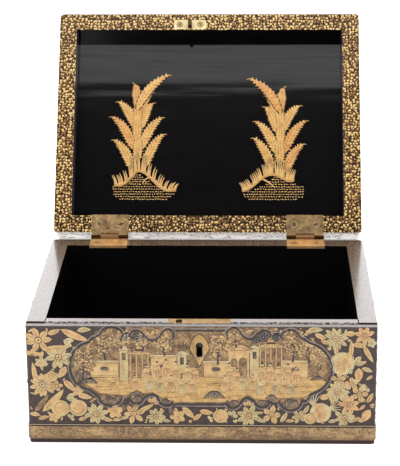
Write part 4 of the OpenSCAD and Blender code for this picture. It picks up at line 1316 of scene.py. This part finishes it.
def otherFaces():
    back = makeFace((0, halfDeep, 0), (-1, 0, 0), (0, 0, 1), "box")
    panelledFace("backOrnament", back, onBack, 1, (-149, fieldLow, 149, 103), blossomSizes, 21)
    for name, x, across, seed in (("leftOrnament", -halfWide, -1, 22), ("rightOrnament", halfWide, 1, 23)):
        face = makeFace((x, 0, 0), (0, across, 0), (0, 0, 1), "box")
        panelledFace(name, face, onSide, 0.8, (-sideWide, fieldLow, sideWide, 108), blossomSizes, seed)
    top = makeFace((0, 0, lidTop), (1, 0, 0), (0, 1, 0), "lid", True)
    sizes = (12,) + blossomSizes
    panelledFace("lidTopOrnament", top, onTop, 1.5, (-146, -109.5, 146, 109.5), sizes, 24)
    # the back edge's ornament is drawn all in a dark gold, painted shade for the face that lies in the box's
    # shadow where the lid leans back
    for name, origin, across, half, seed, only in (
            ("lidFrontOrnament", (0, -halfDeep, 0), (1, 0, 0), halfWide, 25, None),
            ("lidBackOrnament", (0, halfDeep, 0), (-1, 0, 0), halfWide, 26, "shadedGold"),
            ("lidLeftOrnament", (-halfWide, 0, 0), (0, -1, 0), halfDeep, 27, None),
            ("lidRightOrnament", (halfWide, 0, 0), (0, 1, 0), halfDeep, 28, None)):
        face = makeFace(origin, across, (0, 0, 1), "lid", True)
        reach = half - 3.5
        borderFace(name, face, (-reach, lidRim + 2.5, reach, railTop), borderSizes, seed, only)


otherFaces()
print("other faces drawn")


# The lid's inside: two plumed plants on mounds; places are mm from the middle and from the lid's back edge

lidPlants = {
    "leaves": [((-71.5, 134), (-74, 157.7), 8.4), ((-69.5, 130.1), (-60, 149.8), 8.4),
        ((-73.5, 113.3), (-88.5, 139.9), 9.6), ((-68.5, 112.3), (-58.5, 138), 9.4),
        ((-75.5, 91.6), (-94.8, 124.1), 9.8), ((-67.5, 90.6), (-49.3, 123.2), 9.8),
        ((-76.5, 70.8), (-92, 99.5), 9.8), ((-63.5, 71.8), (-47.3, 105.4), 9.8),
        ((-71.5, 118.2), (-70.5, 141.9), 8.6), ((-71.5, 98.5), (-72, 124.1), 9),
        ((-71, 78.7), (-70.5, 104.4), 9.4), ((-72, 133), (-43.5, 168.6), 9.6)],
    "leftMound": [(-93.4, 54.4), (-88.2, 54), (-82.2, 56.6), (-76.2, 62.9), (-71.9, 67.7),
        (-67.5, 68.5), (-61.5, 65.3), (-55.5, 59.4), (-48.5, 52.7), (-42.5, 49.1), (-36.5, 48.5),
        (-32.1, 48.7)],
    "leftFold": [(-65.5, 55.5), (-62.5, 60), (-57.5, 61.9), (-52.1, 58.6), (-47.5, 54), (-43.5, 50.7)],
    "rightMound": [(33.7, 48.1), (38.9, 49.5), (45, 54), (51.1, 59.6), (56.9, 63.5), (62.4, 65.1),
        (68.5, 64.1), (74.6, 60.9), (79.8, 58.8), (85.1, 59.2)],
    "rightFold": [(40.5, 53), (45.5, 57.6), (52.1, 60.6), (58.5, 58), (66.5, 51.5)],
    "rightShift": -4,
    "leafLifts": (0.1, 0.09),  # the first leaf's height, and how much higher each next one lies
    "crest": 68,  # from the middle to each mound's crest
    "moundHalf": 34,
    "blades": 31,
    "bladeLift": 1.2,
    "rows": [(64.4, -6, 0), (62.2, -9, 3), (60, -11, 5), (57.6, -14, 8), (55.2, -19, 11),
        (52.6, -27, 17), (50, -27, 22), (47.4, -26, 29), (44.8, -26, 33), (42.2, -24, 32),
        (39.6, -20, 28)],
}


def plumedLeaf(relief, finish, base, tip, width, lift):
    # a full leaf with toothed edges and a hair-thin tip that hooks outward
    (x0, y0), (x1, y1) = base, tip
    cx, cy = x0 + 0.3 * (x1 - x0), y0 + 0.68 * (y1 - y0)
    curve = ((x0, cx, x1), (y0, cy, y1))
    count = 11
    path, widths = [], []
    for k in range(count + 1):
        t = k / count
        path.append(tuple((1 - t) ** 2 * a + 2 * t * (1 - t) * c + t * t * b for a, c, b in curve))
        widths.append(max(0.9, 0.82 * width * math.sin(math.pi * (0.07 + 0.91 * t ** 0.85)) ** 0.8))
    relief.ribbon("ink", path, [w + 2.2 for w in widths], lift - 0.02, 0.02)
    headings = [math.degrees(math.atan2(b[1] - a[1], b[0] - a[0])) for a, b in zip(path, path[1:])]
    for k, heading in enumerate(headings, 1):
        for side in (-1, 1):
            edge = polar(*path[k], widths[k] * 0.36, heading + 90 * side)
            reach = (3.6 - 0.1 * k) * relief.rng.uniform(0.75, 1.15)
            relief.ribbon(finish, arcPath(*edge, heading + side * 46, reach, side * 30, 4),
                [2.2, 1.7, 1, 0.25], lift, 0.12)
    relief.ribbon(finish, path, widths, lift + 0.04, 0.06)
    hand = 1 if x1 < x0 else -1
    relief.ribbon(finish, arcPath(x1, y1, headings[-1], 6, hand * 66, 6), [1.5, 1.2, 0.9, 0.7, 0.5, 0.2],
        lift, 0.1)
    for k in range(1, count):
        for side in (-1, 1):
            edge = polar(*path[k], widths[k] * 0.1, headings[k - 1] + 90 * side)
            vein = arcPath(*edge, headings[k - 1] + side * 32, widths[k] * 0.4, 0, 3)
            relief.ribbon("shade", vein, [0.5, 0.45, 0.2], lift + 0.08, 0.04)


def insideOfLid(p):
    relief = Relief("lidPlants", makeFace((0, halfDeep, panelFace), (1, 0, 0), (0, -1, 0), "lid", True), 3)
    rng = relief.rng
    firstLift, liftStep = p["leafLifts"]
    bladeLift = p["bladeLift"]
    for side, shift, mound, fold in ((1, 0, p["leftMound"], p["leftFold"]),
            (-1, p["rightShift"], p["rightMound"], p["rightFold"])):
        for count, ((x0, y0), (x1, y1), width) in enumerate(p["leaves"]):
            finish = "plantWarm" if rng.random() < 0.25 else "plantGold"
            ends = (side * x0, y0 + shift), (side * x1, y1 + shift)
            plumedLeaf(relief, finish, *ends, width, firstLift + liftStep * count)
        crestX = -side * p["crest"]
        line = smoothPath(mound, 4)
        for k in range(p["blades"]):
            x, y = line[round((k + 0.5) / p["blades"] * (len(line) - 1))]
            off = (x - crestX) / p["moundHalf"]
            size = (19 if abs(off) < 0.22 else 15 - 6 * abs(off)) * rng.uniform(0.86, 1.08)
            path = arcPath(x, y, 90 - 6 * off, size, -38 * off - 6 * (1 if off > 0 else -1), 7)
            relief.ribbon("ink", path, [2.5, 2.5, 2.4, 2.1, 1.7, 1.2, 0.6], bladeLift, 0.02)
            tint = "plantGold" if k % 3 else "gold"
            relief.ribbon(tint, path, [1.7, 1.7, 1.6, 1.3, 1, 0.7, 0.3], bladeLift + 0.04, 0.12)
        relief.ribbon("plantGold", line, 2.5, bladeLift + 0.06, 0.2)
        relief.ribbon("shade", line, 0.4, bladeLift + 0.26, 0.04)
        last = 4 * len(fold) - 4
        swell = [0.5 + 1.2 * math.sin(math.pi * k / last) for k in range(last + 1)]
        relief.ribbon("plantGold", smoothPath(fold, 4), swell, 0.4, 0.2)
        for y, x0, x1 in p["rows"]:
            x = crestX + x0 if side > 0 else crestX - x1
            end = crestX + x1 if side > 0 else crestX - x0
            while x < end:
                run = rng.uniform(0.9, 2.2)
                tint = "gold" if rng.random() < 0.4 else "plantGold"
                dash = [(x, y), (x + run, y + rng.uniform(-0.6, 0.6))]
                relief.ribbon(tint, dash, [1, 0.7], 0.08, 0.06)
                x += run + rng.uniform(0.6, 1.4)
    relief.make()


insideOfLid(lidPlants)
print("inside of the lid drawn")


# Dirt in the screws' slots and round their heads

screwSet = {
    "leafMiddle": 95,
    "leafHalfPitch": 10.8,
    "leafHead": 3.6,
    "linkMiddle": -19.2,
    "linkDepth": 102.2,
    "linkHalfPitch": 10.3,
    "linkHead": 2.7,
    "slot": 0.66,
    "depth": -0.55,
}


def screwDirt(s=screwSet):
    box = Relief("lowerScrewDirt", makeFace((0, 0, rimHeight), (1, 0, 0), (0, 1, 0), "box"), 1)
    lid = Relief("upperScrewDirt", makeFace((0, 0, lidRim), (1, 0, 0), (0, -1, 0), "lid", True), 1)
    wallMid = (backLow.y + backHigh.y) / 2 / mm
    railMid = halfDeep - railWide / 2
    leafHeads = [(end, side * s["leafMiddle"] + end * s["leafHalfPitch"]) for side in (-1, 1)
        for end in (-1, 1)]
    heads = [(box, x, wallMid, 60 + 50 * end, s["leafHead"]) for end, x in leafHeads]
    heads += [(lid, x, -railMid, 35 * end - 20, s["leafHead"]) for end, x in leafHeads]
    heads += [(lid, s["linkMiddle"] + end * s["linkHalfPitch"], s["linkDepth"], -70 * end, s["linkHead"])
        for end in (-1, 1)]
    for relief, x, y, turn, r in heads:
        relief.sink = s["depth"] - 0.1
        relief.ribbon("ink", [polar(x, y, -r * 0.94, turn), polar(x, y, r * 0.94, turn)], s["slot"],
            s["depth"], 0.1)
        relief.sink = -0.01
        relief.ribbon("shade", [polar(x, y, r + 0.25, 18 * k) for k in range(21)], 0.55, 0.01, 0.02)
        relief.ribbon("paleGold", [polar(x, y, r - 0.55, 18 * k) for k in range(21)], 0.5, 0.01, 0.03)
    box.make()
    lid.make()


screwDirt()


# Floor, background and light

floorSet = {
    "colour": (0.82, 0.82, 0.82, 1),
    "seen": 0.8,
    "front": 0.15,  # what gloss sees of the floor before the box, and behind it
    "behind": 1.45,
    "reach": 6,
    "level": -0.0002,  # just under the box
}


def makeFloor(s):
    mat = bpy.data.materials.new("floorWhite")
    mat.use_nodes = True
    tree = mat.node_tree
    tree.nodes.clear()
    out = put(tree, "OutputMaterial")
    base = put(tree, "BsdfDiffuse", {"Color": s["colour"]})
    glow = put(tree, "Emission", {"Color": (1, 1, 1, 1)})
    path = put(tree, "LightPath")
    glossy = between(tree, axis(tree, objectSpot(tree), "Y"), 0.0, 0.2, s["front"], s["behind"])
    shown = maths(tree, "MULTIPLY", (path, "Is Camera Ray"), s["seen"])
    gloss = maths(tree, "MULTIPLY", (path, "Is Glossy Ray"), glossy)
    feed(tree, glow, {"Strength": maths(tree, "ADD", shown, gloss)})
    both = put(tree, "AddShader", {0: (base, 0), 1: (glow, 0)})
    feed(tree, out, {"Surface": (both, 0)})
    corners = block(-s["reach"], -s["reach"], s["reach"], s["reach"])
    mesh = bpy.data.meshes.new("floor")
    mesh.from_pydata([(x, y, s["level"]) for x, y in corners], [], [(0, 1, 2, 3)])
    mesh.materials.append(mat)
    floor = bpy.data.objects.new("floor", mesh)
    bpy.context.scene.collection.objects.link(floor)


worldSet = {
    "light": 0.5,
    "frontGloss": 0.03,  # how bright gloss finds the room before the box, and the backdrop
    "backGloss": 0.8,
}


def makeWorld(s):
    world = bpy.data.worlds.new("studio")
    bpy.context.scene.world = world
    world.use_nodes = True
    tree = world.node_tree
    tree.nodes.clear()
    out = put(tree, "OutputWorld")
    seen = put(tree, "Background", {"Color": (1, 1, 1, 1), "Strength": 1.0})
    soft = put(tree, "Background", {"Color": (1, 1, 1, 1), "Strength": s["light"]})
    room = put(tree, "Background", {"Color": (0.97, 0.975, 1, 1)})
    way = put(tree, "TexCoord"), "Generated"
    fade = between(tree, axis(tree, way, "Y"), -0.2, 0.2, s["frontGloss"], s["backGloss"])
    feed(tree, room, {"Strength": fade})
    path = put(tree, "LightPath")
    glossy = put(tree, "MixShader", {"Fac": (path, "Is Glossy Ray"), 1: (soft, 0), 2: (room, 0)})
    final = put(tree, "MixShader", {"Fac": (path, "Is Camera Ray"), 1: (glossy, 0), 2: (seen, 0)})
    feed(tree, out, {"Surface": (final, 0)})


lamps = {
    "overhead": {"place": (0, -0.15, 1.6), "aim": (0, -0.15, 0), "size": (2.2, 1.35), "radiance": 1.5},
    "key": {"place": (-0.9, -1.9, 0.75), "aim": (0, 0, 0.12), "size": (1.3, 1.0), "radiance": 2.4},
    "fill": {"place": (1.3, -1.7, 0.5), "aim": (0, 0, 0.12), "size": (1.1, 0.9), "radiance": 1.6},
    "back": {"place": (0, 1.9, 0.95), "aim": (0, 0, 0.15), "size": (3.2, 1.5), "radiance": 2.4},
}


def makeLamps(lamps):
    for name, s in lamps.items():
        data = bpy.data.lights.new(name, "AREA")
        data.shape = "RECTANGLE"
        data.size, data.size_y = s["size"]
        data.energy = s["radiance"] * math.pi * s["size"][0] * s["size"][1]
        obj = bpy.data.objects.new(name, data)
        place = Vector(s["place"])
        obj.location = place
        obj.rotation_euler = (Vector(s["aim"]) - place).to_track_quat("-Z", "Y").to_euler()
        obj.visible_camera = False
        bpy.context.scene.collection.objects.link(obj)


makeFloor(floorSet)
makeWorld(worldSet)
makeLamps(lamps)
bpy.context.scene.view_settings.view_transform = "Standard"
print("studio ready")
